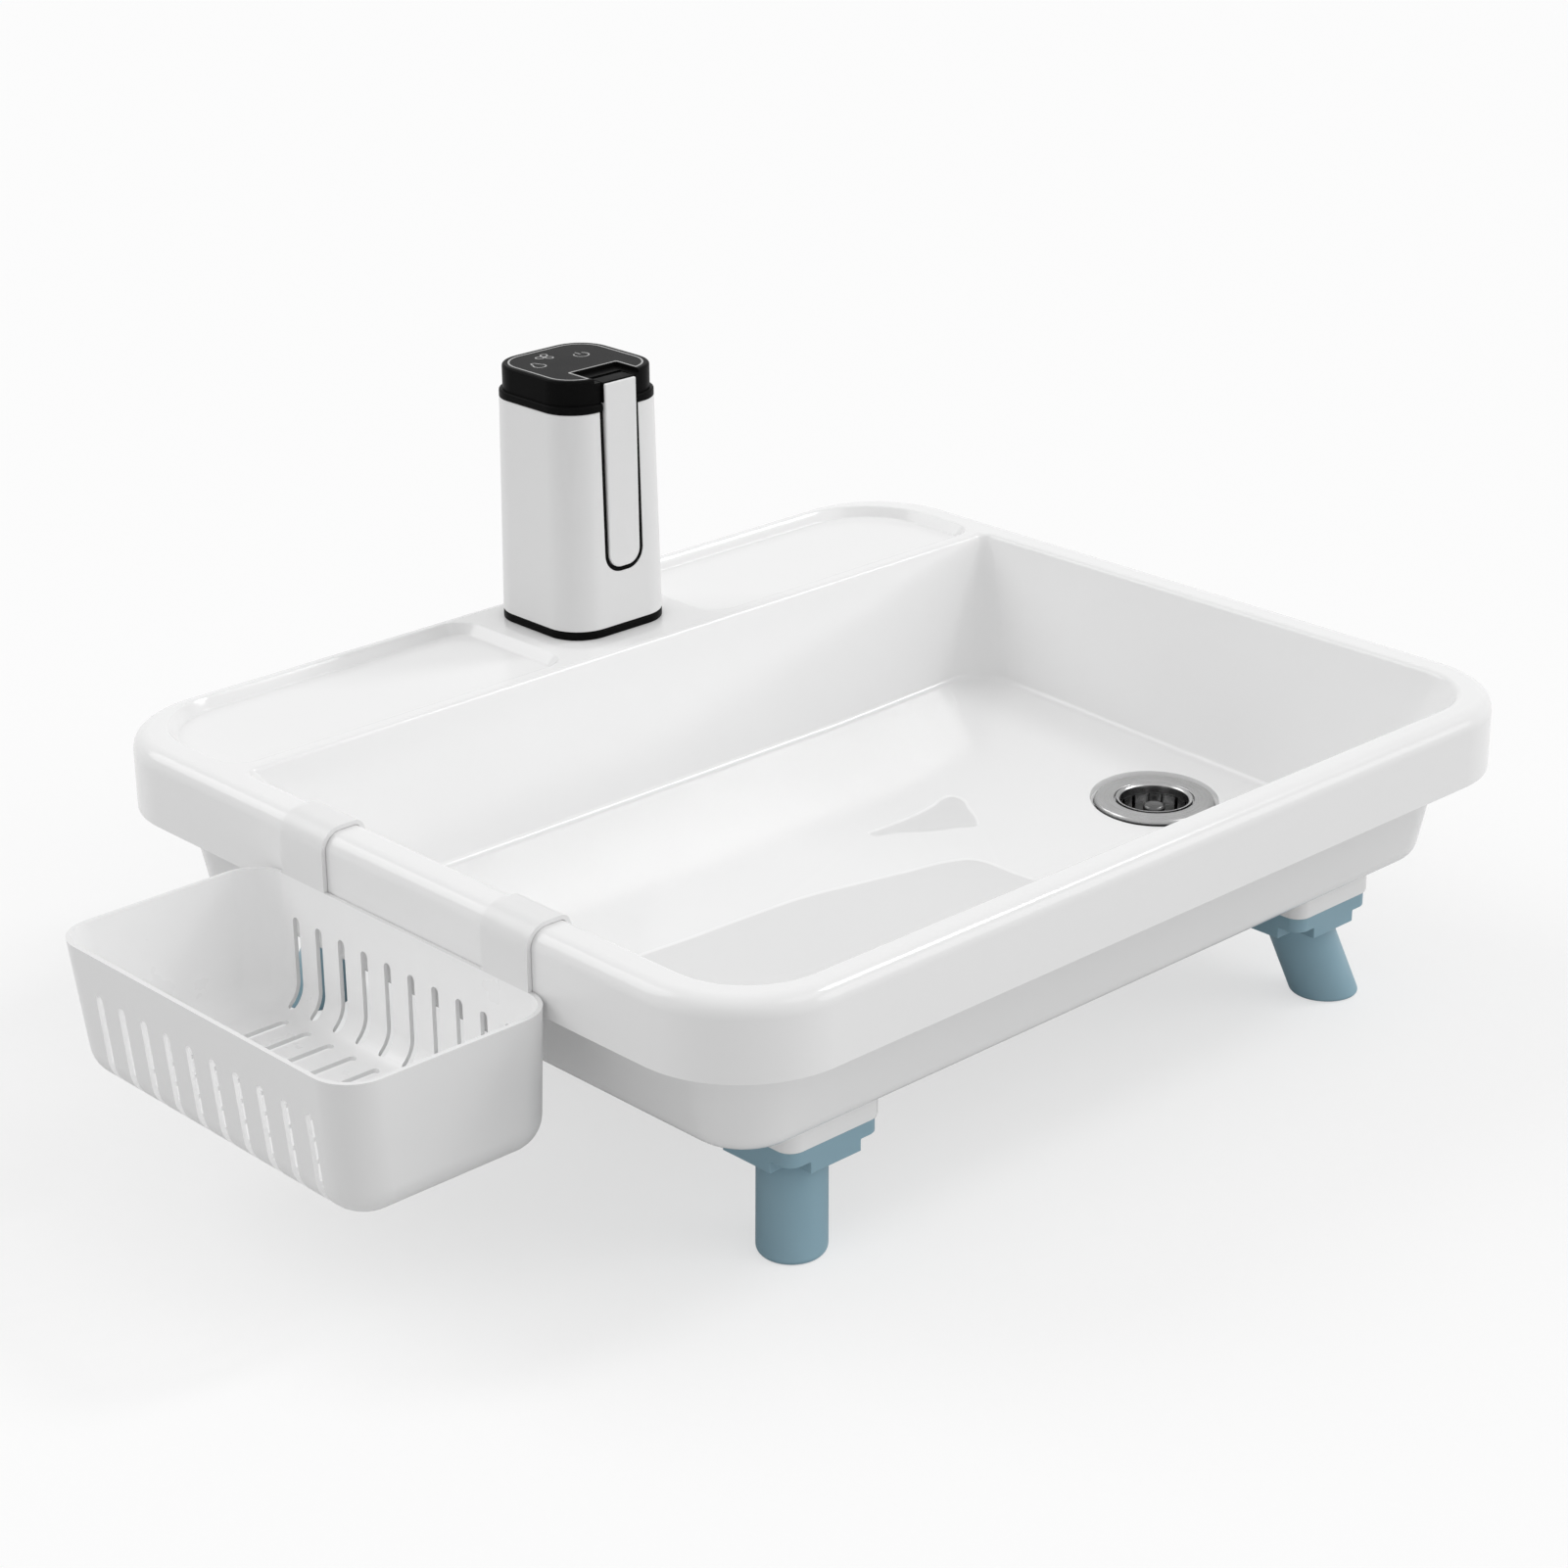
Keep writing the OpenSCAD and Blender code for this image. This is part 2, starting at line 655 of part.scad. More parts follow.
module strainer_cup() color("silver") at_drain() difference() {
    rotate_extrude($fn = 2 * round_fn) polygon(concat(
        [[0, cup_z - cup_h], [cup_r - 5, cup_z - cup_h]],
        arc(cup_r - 5, cup_z - cup_h + 4, 4, -90, 0, 5),
        [[cup_r, cup_z], [lip_r, cup_z], [lip_r, cup_z + cup_t], [cup_r - cup_t, cup_z + cup_t]],
        arc(cup_r - 5, cup_z - cup_h + 4, 4 - cup_t, 0, -90, 5),
        [[0, cup_z - cup_h + cup_t]]
    ));
    for (i = [0:cup_slots - 1]) rotate(i * 360 / cup_slots) {
        translate([cup_r - 7, -1.1, cup_z - cup_h + 5]) cube([9, 2.2, cup_h - 9]);
        translate([cup_r - 8, 0, cup_z - cup_h - over]) cylinder(d = 2.6, h = 4, $fn = 16);
    }
    for (i = [0:6]) rotate(i * 360 / 7)
        translate([cup_r / 2 - 2.5, 0, cup_z - cup_h - over]) cylinder(d = 2.6, h = 4, $fn = 16);
}

module strainer_knob() color("silver") at_drain() rotate_extrude($fn = round_fn)
    polygon(concat(
        [[0, cup_z - cup_h + cup_t], [2.5, cup_z - cup_h + cup_t], [2.5, cup_z - 7]],
        arc(4.5, cup_z - 4.5, 2, -90, 90, 6),
        [[0, cup_z - 2]]
    ));

module basket_form(grow) {
    hull() {
        level(basket_x - basket_w - grow, basket_x + grow, -basket_l / 2 - grow, basket_l / 2 + grow,
            basket_r + grow, basket_top - (grow < 0 ? 0 : skin));
        round_level(basket_x - basket_w + basket_lean - grow, basket_x + grow,
            basket_end_lean - grow - basket_l / 2, basket_l / 2 - basket_end_lean + grow,
            basket_r + grow, basket_z - grow, basket_fillet + grow);
    }
}

// Section of the rim on the basket's side, grown outwards
module rim_section(grow) {
    out = grow * norm([1, lean_rate]) - tub_x;
    low = rim_h - basket_drop - over;
    polygon(concat(
        [[-rim_x - grow, low]],
        arc(rim_fillet - rim_x, rim_h - rim_fillet, rim_fillet + grow, 180, 90),
        arc(-tub_x - mouth_ease, rim_h - mouth_ease, mouth_ease + grow, 90, 20),
        [for (z = [rim_h - mouth_ease, low]) [out + lean_rate * (rim_h - z), z]]
    ));
}

module hook() {
    rotate([90, 0, 0]) linear_extrude(hook_w, center = true) difference() {
        rim_section(hook_gap + basket_t);
        rim_section(hook_gap);
        translate([-(rim_x + tub_x) / 2, rim_h - hook_lip - rim_h]) square([rim_x, rim_h]);
    }
}

// The row in the outer wall crosses the floor; the row in the wall at the rim ends in its fillet
module slots() {
    for (row = [[-basket_w - over, -slot_stop, -slot_shift, -slot_stop],
                [-slot_in, over, slot_shift, -slot_in]], i = [0:slot_n - 1])
        translate([basket_x, (i - (slot_n - 1) / 2) * slot_pitch + row[2], basket_z - over]) {
            translate([row[0], -slot_w / 2, 0])
                cube([row[1] - row[0], slot_w, slot_top - slot_w / 2 - basket_z + over]);
            translate([row[0], 0, slot_top - slot_w / 2 - basket_z + over])
                rotate([0, 90, 0]) cylinder(d = slot_w, h = row[1] - row[0], $fn = hull_fn);
            translate([row[3], 0, 0]) cylinder(d = slot_w, h = basket_fillet, $fn = hull_fn);
        }
}

module hanging_basket() color("white") in_place() translate([0, -basket_y, 0]) {
    difference() {
        basket_form(0);
        basket_form(-basket_t);
        slots();
    }
    for (side = [-1, 1]) translate([0, side * hook_y, 0]) hook();
}

module at_pump() {
    in_place() translate([pump_x, pump_y, 0]) children();
}

module at_posts() {
    for (x = [-1, 1], y = [-1, 1]) translate([x * post_at, y * post_at, 0]) children();
}

module pump_foot() color("#151515") at_pump() difference() {
    union() {
        translate([0, 0, rim_h]) linear_extrude(foot_h) round_rect(pump_w, pump_w, pump_r);
        translate([0, 0, shell_z]) linear_extrude(plug_h)
            round_rect(inside_w - 2 * seat_gap, inside_w - 2 * seat_gap, pump_r - shell_t);
    }
    translate([0, motor_y, rim_h - over])
        cylinder(d = inlet_d + 4 + 2 * fit, h = foot_h + plug_h + 2 * over, $fn = round_fn);
    at_posts() translate([0, 0, rim_h - over])
        cylinder(r = screw_d / 2 + fit, h = foot_h + plug_h + 2 * over, $fn = hull_fn);
    at_posts() translate([0, 0, rim_h - over])
        cylinder(r = screw_d + fit, h = foot_h / 2 + over, $fn = hull_fn);
}

module foot_screws() color("silver") at_pump() at_posts()
    translate([0, 0, rim_h + foot_h / 2]) screw(screw_d, screw_len);

module shell_form() {
    hull() {
        level(-pump_w / 2, pump_w / 2, -pump_w / 2, pump_w / 2, pump_r, shell_z);
        level(-pump_top_w / 2, pump_top_w / 2, -pump_top_w / 2, pump_top_w / 2, pump_r - 1, cap_z - skin);
    }
}

// Face of the spout arm, grown by a margin, with its top open upwards
module arm_face(grow, top) {
    l = arm_w + 2 * grow;
    h = top - arm_z + grow;
    translate([0, arm_z - grow + h / 2]) square([l - 2 * arm_r - 2 * grow, h], center = true);
    translate([-l / 2, arm_z + arm_r]) square([l, top - arm_z - arm_r]);
    for (x = [-1, 1]) translate([x * (arm_w / 2 - arm_r), arm_z + arm_r])
        circle(arm_r + grow, $fn = round_fn);
}

// Extrudes a face that is drawn on X and Z from one depth to another
module from_front(y0, y1) {
    translate([0, y1, 0]) rotate([90, 0, 0]) linear_extrude(y1 - y0) children();
}

module pump_shell() color("white") at_pump() {
    difference() {
        shell_form();
        translate([0, 0, shell_z - over]) linear_extrude(shell_h + 2 * over)
            round_rect(inside_w, inside_w, pump_r - shell_t);
        from_front(front_y - over, front_y + cradle_d)
            arm_face(arm_gap + cradle_t + fit, cap_z + over);
        translate([-port_w / 2, 0, shell_z + 12]) cube([port_w, pump_w, port_h]);
    }
    difference() {
        at_posts() translate([0, 0, plug_z]) cylinder(r = post_r, h = post_h, $fn = round_fn);
        at_posts() translate([0, 0, plug_z - over])
            cylinder(r = screw_d / 2 + fit, h = screw_len, $fn = hull_fn);
    }
}

module spout_cradle() color("#151515") at_pump() difference() {
    intersection() {
        shell_form();
        from_front(front_y, front_y + cradle_d) arm_face(arm_gap + cradle_t, cap_z);
    }
    from_front(front_y - over, pocket_y) arm_face(arm_gap, cap_z + over);
}

module cap_face(inset) {
    difference() {
        round_rect(cap_w - 2 * inset, cap_w - 2 * inset, pump_r - inset);
        translate([-recess_w / 2 - fit, -cap_w]) square([recess_w + 2 * fit, cap_w + front_y + recess_l + fit]);
    }
}

// A thin slab with its top edge chamfered: a cone in each corner and two ridges between them
module eased_top(w, r, ease) {
    for (x = [-1, 1], y = [-1, 1]) translate([x * (w / 2 - r), y * (w / 2 - r), 0])
        cylinder(r1 = r, r2 = r - ease, h = ease, $fn = round_fn);
    for (turn = [0, 90]) rotate([90, 0, turn]) linear_extrude(w - 2 * r, center = true)
        polygon([[-w / 2, 0], [w / 2, 0], [w / 2 - ease, ease], [ease - w / 2, ease]]);
}

module pump_cap() color("#151515") at_pump() difference() {
    union() {
        translate([0, 0, cap_z]) linear_extrude(cap_step)
            round_rect(pump_top_w + 0.6, pump_top_w + 0.6, pump_r - 1);
        translate([0, 0, cap_z]) linear_extrude(cap_h - cap_ease) round_rect(cap_w, cap_w, pump_r - 1);
        translate([0, 0, cap_top - cap_ease]) eased_top(cap_w, pump_r - 1, cap_ease);
    }
    difference() {
        translate([0, 0, cap_z - over]) linear_extrude(cap_h - cap_roof + over)
            round_rect(cap_w - 2 * cap_wall, cap_w - 2 * cap_wall, pump_r - cap_wall);
        translate([-cheek_w / 2, -cap_w, cap_z - 2 * over])
            cube([cheek_w, cap_w + cheek_y, cap_h + 2 * over]);
    }
    translate([-notch_w / 2, -pump_w, cap_z - over]) cube([notch_w, pump_w + pocket_y, cap_h + 2 * over]);
    translate([-notch_w / 2, -pump_w, hinge_z - sweep_r])
        cube([notch_w, pump_w + hinge_y + sweep_r, cap_h]);
    translate([-recess_w / 2, -pump_w, cap_top - recess_d])
        cube([recess_w, pump_w + front_y + recess_l, cap_h]);
    translate([0, 0, cap_top - panel_t]) linear_extrude(cap_h) cap_face(panel_margin - fit);
    translate([-cheek_w / 2 - over, hinge_y, hinge_z]) rotate([0, 90, 0])
        cylinder(r = pin_d / 2 + fit / 2, h = cheek_w + 2 * over, $fn = round_fn);
}

module touch_panel() color("#0a0a0a") at_pump() translate([0, 0, cap_top - panel_t])
    linear_extrude(panel_t) cap_face(panel_margin);

module spout_arm() color("white") at_pump() difference() {
    from_front(front_y, front_y + arm_t) arm_face(0, arm_top - arm_drop);
    translate([-arm_w, front_y + arm_skin, knuckle_z]) cube([2 * arm_w, arm_t, arm_l]);
    translate([0, front_y + arm_t / 2, nozzle_z])
        cylinder(d = water_d, h = arm_l, $fn = hull_fn);
    from_front(front_y + arm_t / 2, front_y + arm_t + over) translate([0, nozzle_z])
        circle(d = water_d, $fn = hull_fn);
}

// The black block at the arm's top that turns on the hinge pin
module spout_knuckle() color("#151515") at_pump() difference() {
    translate([-arm_w / 2, front_y + arm_skin, knuckle_z])
        cube([arm_w, 2 * hinge_in - arm_skin, arm_top - knuckle_z]);
    translate([-arm_w, hinge_y, hinge_z]) rotate([0, 90, 0])
        cylinder(r = pin_d / 2 + fit, h = 2 * arm_w, $fn = round_fn);
    translate([0, front_y + arm_t / 2, knuckle_z - over])
        cylinder(d = water_d, h = hinge_in - pin_d / 2, $fn = hull_fn);
}

module spout_nozzle() color("#404040") at_pump()
    from_front(front_y + arm_t, front_y + arm_t + nozzle_h) translate([0, nozzle_z]) difference() {
        circle(d = nozzle_d, $fn = round_fn);
        circle(d = water_d, $fn = hull_fn);
    }

module hinge_pin() color("silver") at_pump() translate([-pin_l / 2, hinge_y, hinge_z])
    rotate([0, 90, 0]) cylinder(d = pin_d, h = pin_l, $fn = round_fn);

module battery_cell() color("#2f6f9f") at_pump() translate([cell_x, motor_y, plug_z]) {
    cylinder(d = cell_d, h = cell_l, $fn = round_fn);
    translate([0, 0, cell_l]) cylinder(d = cell_d / 3, h = 1, $fn = hull_fn);
}

module pump_head() color("#e0e0e0") at_pump() difference() {
    translate([(head_x[0] + head_x[1]) / 2, (head_y[0] + head_y[1]) / 2, plug_z])
        linear_extrude(head_h) round_rect(head_x[1] - head_x[0], head_y[1] - head_y[0], 4);
    translate([0, motor_y, plug_z - over]) cylinder(d = inlet_bore, h = head_h - 4, $fn = hull_fn);
    translate([riser_x, riser_y, plug_z + 5]) cylinder(d = riser_bore, h = head_h, $fn = hull_fn);
}

module pump_motor() color("silver") at_pump() translate([0, motor_y, plug_z + head_h]) {
    cylinder(d = motor_d, h = motor_l, $fn = round_fn);
    translate([0, 0, motor_l]) cylinder(d = motor_d / 3, h = 2, $fn = hull_fn);
}

module riser_tube() color("#d8e4e8") at_pump() translate([riser_x, riser_y, plug_z + head_h])
    tube(riser_d / 2, riser_bore / 2, cap_z - plug_z - head_h);

module inlet_barb() color("#d8d8d8") at_pump() translate([0, motor_y, 0])
    rotate_extrude($fn = round_fn) polygon(concat(
        [[inlet_bore / 2, plug_z], [inlet_bore / 2, rim_h - inlet_reach]],
        [for (i = [0:2]) for (p = [[-0.6, 0], [0.5, 3], [-0.6, 3.2]])
            [inlet_d / 2 + p[0], rim_h - inlet_reach + 4 * i + p[1]]],
        [[inlet_d / 2 - 0.6, rim_h - inlet_reach + 14], [inlet_d / 2 + 2, rim_h - inlet_reach + 16],
         [inlet_d / 2 + 2, plug_z]]
    ));

module control_board() color("#1e6b3c") at_pump()
    translate([0, (cheek_y + cap_w / 2 - cap_wall) / 2, cap_top - cap_roof - board_t])
        linear_extrude(board_t) square([cap_w - 30, cap_w / 2 - cap_wall - cheek_y - 8], center = true);

module charge_port() color("silver") at_pump()
    translate([fit - port_w / 2, pump_w / 2 - 8, shell_z + 12 + fit]) difference() {
        cube([port_w - 2 * fit, 7.4, port_h - 2 * fit]);
        translate([1, 2, 0.7]) cube([port_w - 2 * fit - 2, 8, port_h - 2 * fit - 1.4]);
    }

basin();
under_pan();
pan_screws();
leg_front_left();
leg_front_right();
leg_back_left();
leg_back_right();
drain_flange();
drain_gasket();
drain_washer();
drain_nut();
waste_tail();
strainer_cup();
strainer_knob();
hanging_basket();
pump_foot();
pump_shell();
spout_cradle();
pump_cap();
touch_panel();
spout_arm();
spout_knuckle();
spout_nozzle();
hinge_pin();
battery_cell();
pump_motor();
pump_head();
riser_tube();
inlet_barb();
control_board();
charge_port();
foot_screws();
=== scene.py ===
import math
from types import SimpleNamespace as Numbers
import bpy
import bmesh
from bmesh import ops
from mathutils import Matrix, Vector


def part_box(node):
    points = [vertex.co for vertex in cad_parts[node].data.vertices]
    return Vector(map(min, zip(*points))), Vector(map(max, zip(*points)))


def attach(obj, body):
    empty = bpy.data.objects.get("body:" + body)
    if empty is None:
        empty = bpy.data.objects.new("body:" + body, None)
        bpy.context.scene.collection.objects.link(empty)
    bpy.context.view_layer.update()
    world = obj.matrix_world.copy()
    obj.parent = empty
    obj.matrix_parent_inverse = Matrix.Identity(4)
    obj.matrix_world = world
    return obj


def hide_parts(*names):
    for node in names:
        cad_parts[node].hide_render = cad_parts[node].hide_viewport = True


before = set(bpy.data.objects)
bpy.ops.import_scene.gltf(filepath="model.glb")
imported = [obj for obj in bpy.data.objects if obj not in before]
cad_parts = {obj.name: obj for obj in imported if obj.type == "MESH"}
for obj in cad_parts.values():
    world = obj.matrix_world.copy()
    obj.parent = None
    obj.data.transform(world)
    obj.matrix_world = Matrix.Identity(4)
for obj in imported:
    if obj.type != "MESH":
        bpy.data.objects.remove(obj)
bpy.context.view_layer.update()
print("frame loaded,", len(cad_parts), "nodes")

# Pieces are drawn in millimetres round the tub's middle, then moved to their place in the frame
mm = 0.001
signs = [(x, y) for x in (-1, 1) for y in (-1, 1)]  # the corners of a rectangle
past = 5.0  # how far cutters reach past what they cut
rimLow, rimHigh = (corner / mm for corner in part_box("basin"))
tubMiddle = Vector(((rimLow.x + rimHigh.x) / 2, 0, 0))


def nodeBox(name):
    # lowest and highest corner of a CAD node, in millimetres round the tub's middle
    return [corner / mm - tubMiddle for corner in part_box(name)]


# Numbers of round profiles
def sine(degrees):
    return math.sin(math.radians(degrees))


def cosine(degrees):
    return math.cos(math.radians(degrees))


def spaced(start, end, steps):
    # numbers from start to end in equal steps
    return [start + (end - start) * i / steps for i in range(steps + 1)]


def quarter(radius, angles):
    # at each angle of a rounding: how far it has come in, and how far it is from its end
    return [(radius * (1 - cosine(angle)), radius * (1 - sine(angle))) for angle in angles]


def arcPoints(x, z, radius, start, end, steps=8):
    return [(x + radius * cosine(angle), z + radius * sine(angle)) for angle in spaced(start, end, steps)]


# Drawing helpers
def adjust(item, **settings):
    for name, value in settings.items():
        setattr(item, name, value)
    return item


def ofKind(items, kind):
    return [item for item in items if isinstance(item, kind)]


def everything(bm):
    return bm.verts[:] + bm.edges[:] + bm.faces[:]


def roundOff(bm, geom, width, steps, affect='EDGES', clamp=False):
    ops.bevel(bm, geom=geom, offset=width, offset_type='OFFSET', segments=steps, profile=0.5,
              affect=affect, material=-1, clamp_overlap=clamp)


def outwards(bm):
    ops.recalc_face_normals(bm, faces=bm.faces)
    return bm


def welded(bm):
    ops.remove_doubles(bm, verts=bm.verts, dist=0.001)
    return bm


def moved(bm, x, y, z=0):
    bm.transform(Matrix.Translation((x, y, z)))
    return bm


def around(count, draw):
    # a drawing repeated round the upright axis
    copies = [draw() for i in range(count)]
    for i, copy in enumerate(copies):
        copy.transform(Matrix.Rotation(math.tau * i / count, 4, 'Z'))
    return copies


def addLoop(bm, left, right, front, back, height, radii, segments=10):
    # the outline of a rectangle with rounded corners: front left, front right, back right, back left
    corners = [bm.verts.new((x, y, height)) for x, y in ((left, front), (right, front), (right, back), (left, back))]
    before = set(bm.faces)
    bm.faces.new(corners)
    for corner, radius in zip(corners, radii):
        if radius > 0:
            roundOff(bm, [corner], radius, segments, 'VERTICES')
    faces = [face for face in bm.faces if face not in before]
    edges = [edge for face in faces for edge in face.edges]
    ops.delete(bm, geom=faces, context='FACES_ONLY')
    return edges


def centredLoop(bm, halfX, halfY, inset, height, corner, segments):
    # such an outline round the tub's middle, with four equal corners
    return addLoop(bm, inset - halfX, halfX - inset, inset - halfY, halfY - inset, height, [corner] * 4, segments)


def addRing(bm, centre, radius, height, segments=96):
    # a circle's edges
    made = ops.create_circle(bm, cap_ends=False, segments=segments, radius=radius,
                             matrix=Matrix.Translation((centre[0], centre[1], height)))
    return list({edge for vert in made["verts"] for edge in vert.link_edges})


def bridge(bm, loops):
    for lower, upper in zip(loops, loops[1:]):
        ops.bridge_loops(bm, edges=lower + upper)


def fill(bm, loops, normal=(0, 0, 1)):
    # a flat face inside the first loop, with the others left open in it
    edges = [edge for loop in loops for edge in loop]
    made = ops.triangle_fill(bm, use_beauty=True, use_dissolve=False, edges=edges, normal=normal)
    return ofKind(made["geom"], bmesh.types.BMFace)


def extrudeLoop(bm, edges, move=(0, 0, 0), scale=1.0, centre=(0, 0)):
    # carries open edges on by a move, or in towards a centre
    made = ops.extrude_edge_only(bm, edges=edges)["geom"]
    verts = ofKind(made, bmesh.types.BMVert)
    ops.translate(bm, verts=verts, vec=move)
    if scale != 1:
        ops.scale(bm, verts=verts, vec=(scale, scale, 1), space=Matrix.Translation((-centre[0], -centre[1], 0)))
    return [edge for edge in ofKind(made, bmesh.types.BMEdge) if all(vert in verts for vert in edge.verts)]


def prism(across, up, reach, radii=(0, 0, 0, 0), along='Z', segments=10):
    # a block with rounded corners: its outline's sides, and its reach along an axis
    bm = bmesh.new()
    outline = addLoop(bm, *across, *up, reach[0], radii, segments)
    faces = ops.contextual_create(bm, geom=outline)["faces"]
    made = ops.extrude_face_region(bm, geom=faces, use_keep_orig=True)["geom"]
    ops.translate(bm, verts=ofKind(made, bmesh.types.BMVert), vec=(0, 0, reach[1] - reach[0]))
    turns = {'Y': ((1, 0, 0), (0, 0, 1), (0, 1, 0)), 'X': ((0, 0, 1), (1, 0, 0), (0, 1, 0))}
    if along in turns:
        bm.transform(Matrix(turns[along]).to_4x4())
    return outwards(bm)


def lathe(points, centre=(0, 0), steps=96, closed=True):
    # turns a profile of (radius, height) round an upright axis
    bm = bmesh.new()
    verts = [bm.verts.new((radius, 0, height)) for radius, height in points]
    pairs = list(zip(verts, verts[1:])) + ([(verts[-1], verts[0])] if closed else [])
    edges = [bm.edges.new(pair) for pair in pairs]
    ops.spin(bm, geom=verts + edges, cent=(0, 0, 0), axis=(0, 0, 1), angle=math.tau, steps=steps, use_merge=True)
    return moved(outwards(welded(bm)), centre[0], centre[1])


# From drawings to objects and back
def addObject(name, data):
    thing = bpy.data.objects.new(name, data)
    bpy.context.collection.objects.link(thing)
    return thing


def asMesh(bm, name="drawing"):
    mesh = bpy.data.meshes.new(name)
    bm.to_mesh(mesh)
    bm.free()
    return mesh


def asObject(bm):
    return addObject("drawing", asMesh(bm))


def discard(thing, pool):
    data = thing.data
    bpy.data.objects.remove(thing)
    pool.remove(data)


def baked(thing):
    # the object's mesh with its modifiers, as a bmesh; the object goes
    result = bmesh.new()
    result.from_object(thing, bpy.context.evaluated_depsgraph_get())
    discard(thing, bpy.data.meshes)
    return result


def combine(base, tools, operation='DIFFERENCE'):
    # cuts, joins or trims a drawing with others
    for tool in tools:
        thing, cutter = asObject(base), asObject(tool)
        adjust(thing.modifiers.new("combine", 'BOOLEAN'), object=cutter, operation=operation, solver='EXACT',
               use_self=True)
        base = baked(thing)
        discard(cutter, bpy.data.meshes)
    return base


def together(drawings):
    # several loose drawings in one
    result = bmesh.new()
    for drawing in drawings:
        mesh = asMesh(drawing)
        result.from_mesh(mesh)
        bpy.data.meshes.remove(mesh)
    return result


def walled(bm, wall, upwards=False, even=True):
    # an open sheet gets its wall behind its faces; its highest one looks up, or else its lowest one down
    outwards(bm)
    face = sorted(bm.faces, key=lambda item: item.calc_center_median().z)[-1 if upwards else 0]
    if (face.normal.z > 0) != upwards:
        ops.reverse_faces(bm, faces=bm.faces)
    thing = asObject(bm)
    adjust(thing.modifiers.new("wall", 'SOLIDIFY'), thickness=wall, offset=-1, use_even_offset=even,
           use_quality_normals=True)
    return baked(thing)


def addCurve(bm, points, height=0, closed=True, resolution=5, thick=0.0):
    # a smooth line through points, bare or with a thickness; returns the edges that it adds
    curve = adjust(bpy.data.curves.new("line", 'CURVE'), resolution_u=resolution)
    if thick:
        adjust(curve, dimensions='3D', bevel_depth=thick / 2, bevel_resolution=2)
    spline = curve.splines.new('BEZIER')
    spline.bezier_points.add(len(points) - 1)
    spline.use_cyclic_u = closed
    for knot, point in zip(spline.bezier_points, points):
        knot.co = (*point, height)
        knot.handle_left_type = knot.handle_right_type = 'AUTO'
    thing = addObject("line", curve)
    mesh = bpy.data.meshes.new_from_object(thing.evaluated_get(bpy.context.evaluated_depsgraph_get()))
    before = set(bm.edges)
    bm.from_mesh(mesh)
    discard(thing, bpy.data.curves)
    bpy.data.meshes.remove(mesh)
    return [edge for edge in bm.edges if edge not in before]


def finishPiece(name, bm, material, body, node=None, sharp=35, edge=0.0, edgeSteps=2, others=()):
    # a drawing becomes a piece in the place of a CAD node: smooth up to an angle, with eased edges
    bm.transform(Matrix.Scale(mm, 4) @ Matrix.Translation(tubMiddle))
    mesh = asMesh(bm, name)
    mesh.shade_smooth()
    mesh.set_sharp_from_angle(angle=math.radians(sharp))
    for finish in (material, *others):  # faces marked 1, 2 ... take the others
        mesh.materials.append(finish)
    piece = addObject(name, mesh)
    if edge:
        adjust(piece.modifiers.new("eased edges", 'BEVEL'), width=edge * mm, segments=edgeSteps,
               limit_method='ANGLE', angle_limit=math.radians(sharp), use_clamp_overlap=True, miter_outer='MITER_ARC')
    adjust(piece.modifiers.new("flat faces stay flat", 'WEIGHTED_NORMAL'), keep_sharp=not edge, weight=60)
    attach(piece, body)
    if node:
        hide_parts(node)


# Materials
def tint(hexColour):
    # an sRGB hex value as linear RGBA
    parts = [int(hexColour[i:i + 2], 16) / 255 for i in (1, 3, 5)]
    return [part / 12.92 if part <= 0.04045 else ((part + 0.055) / 1.055) ** 2.4 for part in parts] + [1]


def addNode(tree, kind, inputs=None, **settings):
    # a shader node with its settings; inputs holds values or the sockets that feed it; returns its outputs
    node = adjust(tree.nodes.new('ShaderNode' + kind), **settings)
    for name, value in (inputs or {}).items():
        if isinstance(value, bpy.types.NodeSocket):
            tree.links.new(value, node.inputs[name])
        else:
            node.inputs[name].default_value = value
    return node.outputs


def addNoise(tree, place, scale, detail=2.0):
    return addNode(tree, 'TexNoise', {"Vector": place, "Scale": scale, "Detail": detail})["Fac"]


def addBlend(tree, share, deep, pale):
    # a colour between two hex values
    return addNode(tree, 'Mix', {0: share, 6: tint(deep), 7: tint(pale)}, data_type='RGBA')[2]


def addRange(tree, value, low, high, start, end):
    return addNode(tree, 'MapRange', {"Value": value, 1: low, 2: high, 3: start, 4: end})[0]


def addBump(tree, height, strength, distance, **more):
    return addNode(tree, 'Bump', {"Strength": strength, "Distance": distance, "Height": height, **more})[0]


def addMath(tree, operation, first, second):
    return addNode(tree, 'Math', {0: first, 1: second}, operation=operation)[0]


def startMaterial(name):
    material = bpy.data.materials.new(name)
    material.use_nodes = True
    tree = material.node_tree
    tree.nodes.clear()
    return material, tree, addNode(tree, 'TexCoord')["Object"]


def closeMaterial(tree, inputs):
    addNode(tree, 'OutputMaterial', {"Surface": addNode(tree, 'BsdfPrincipled', inputs)[0]})


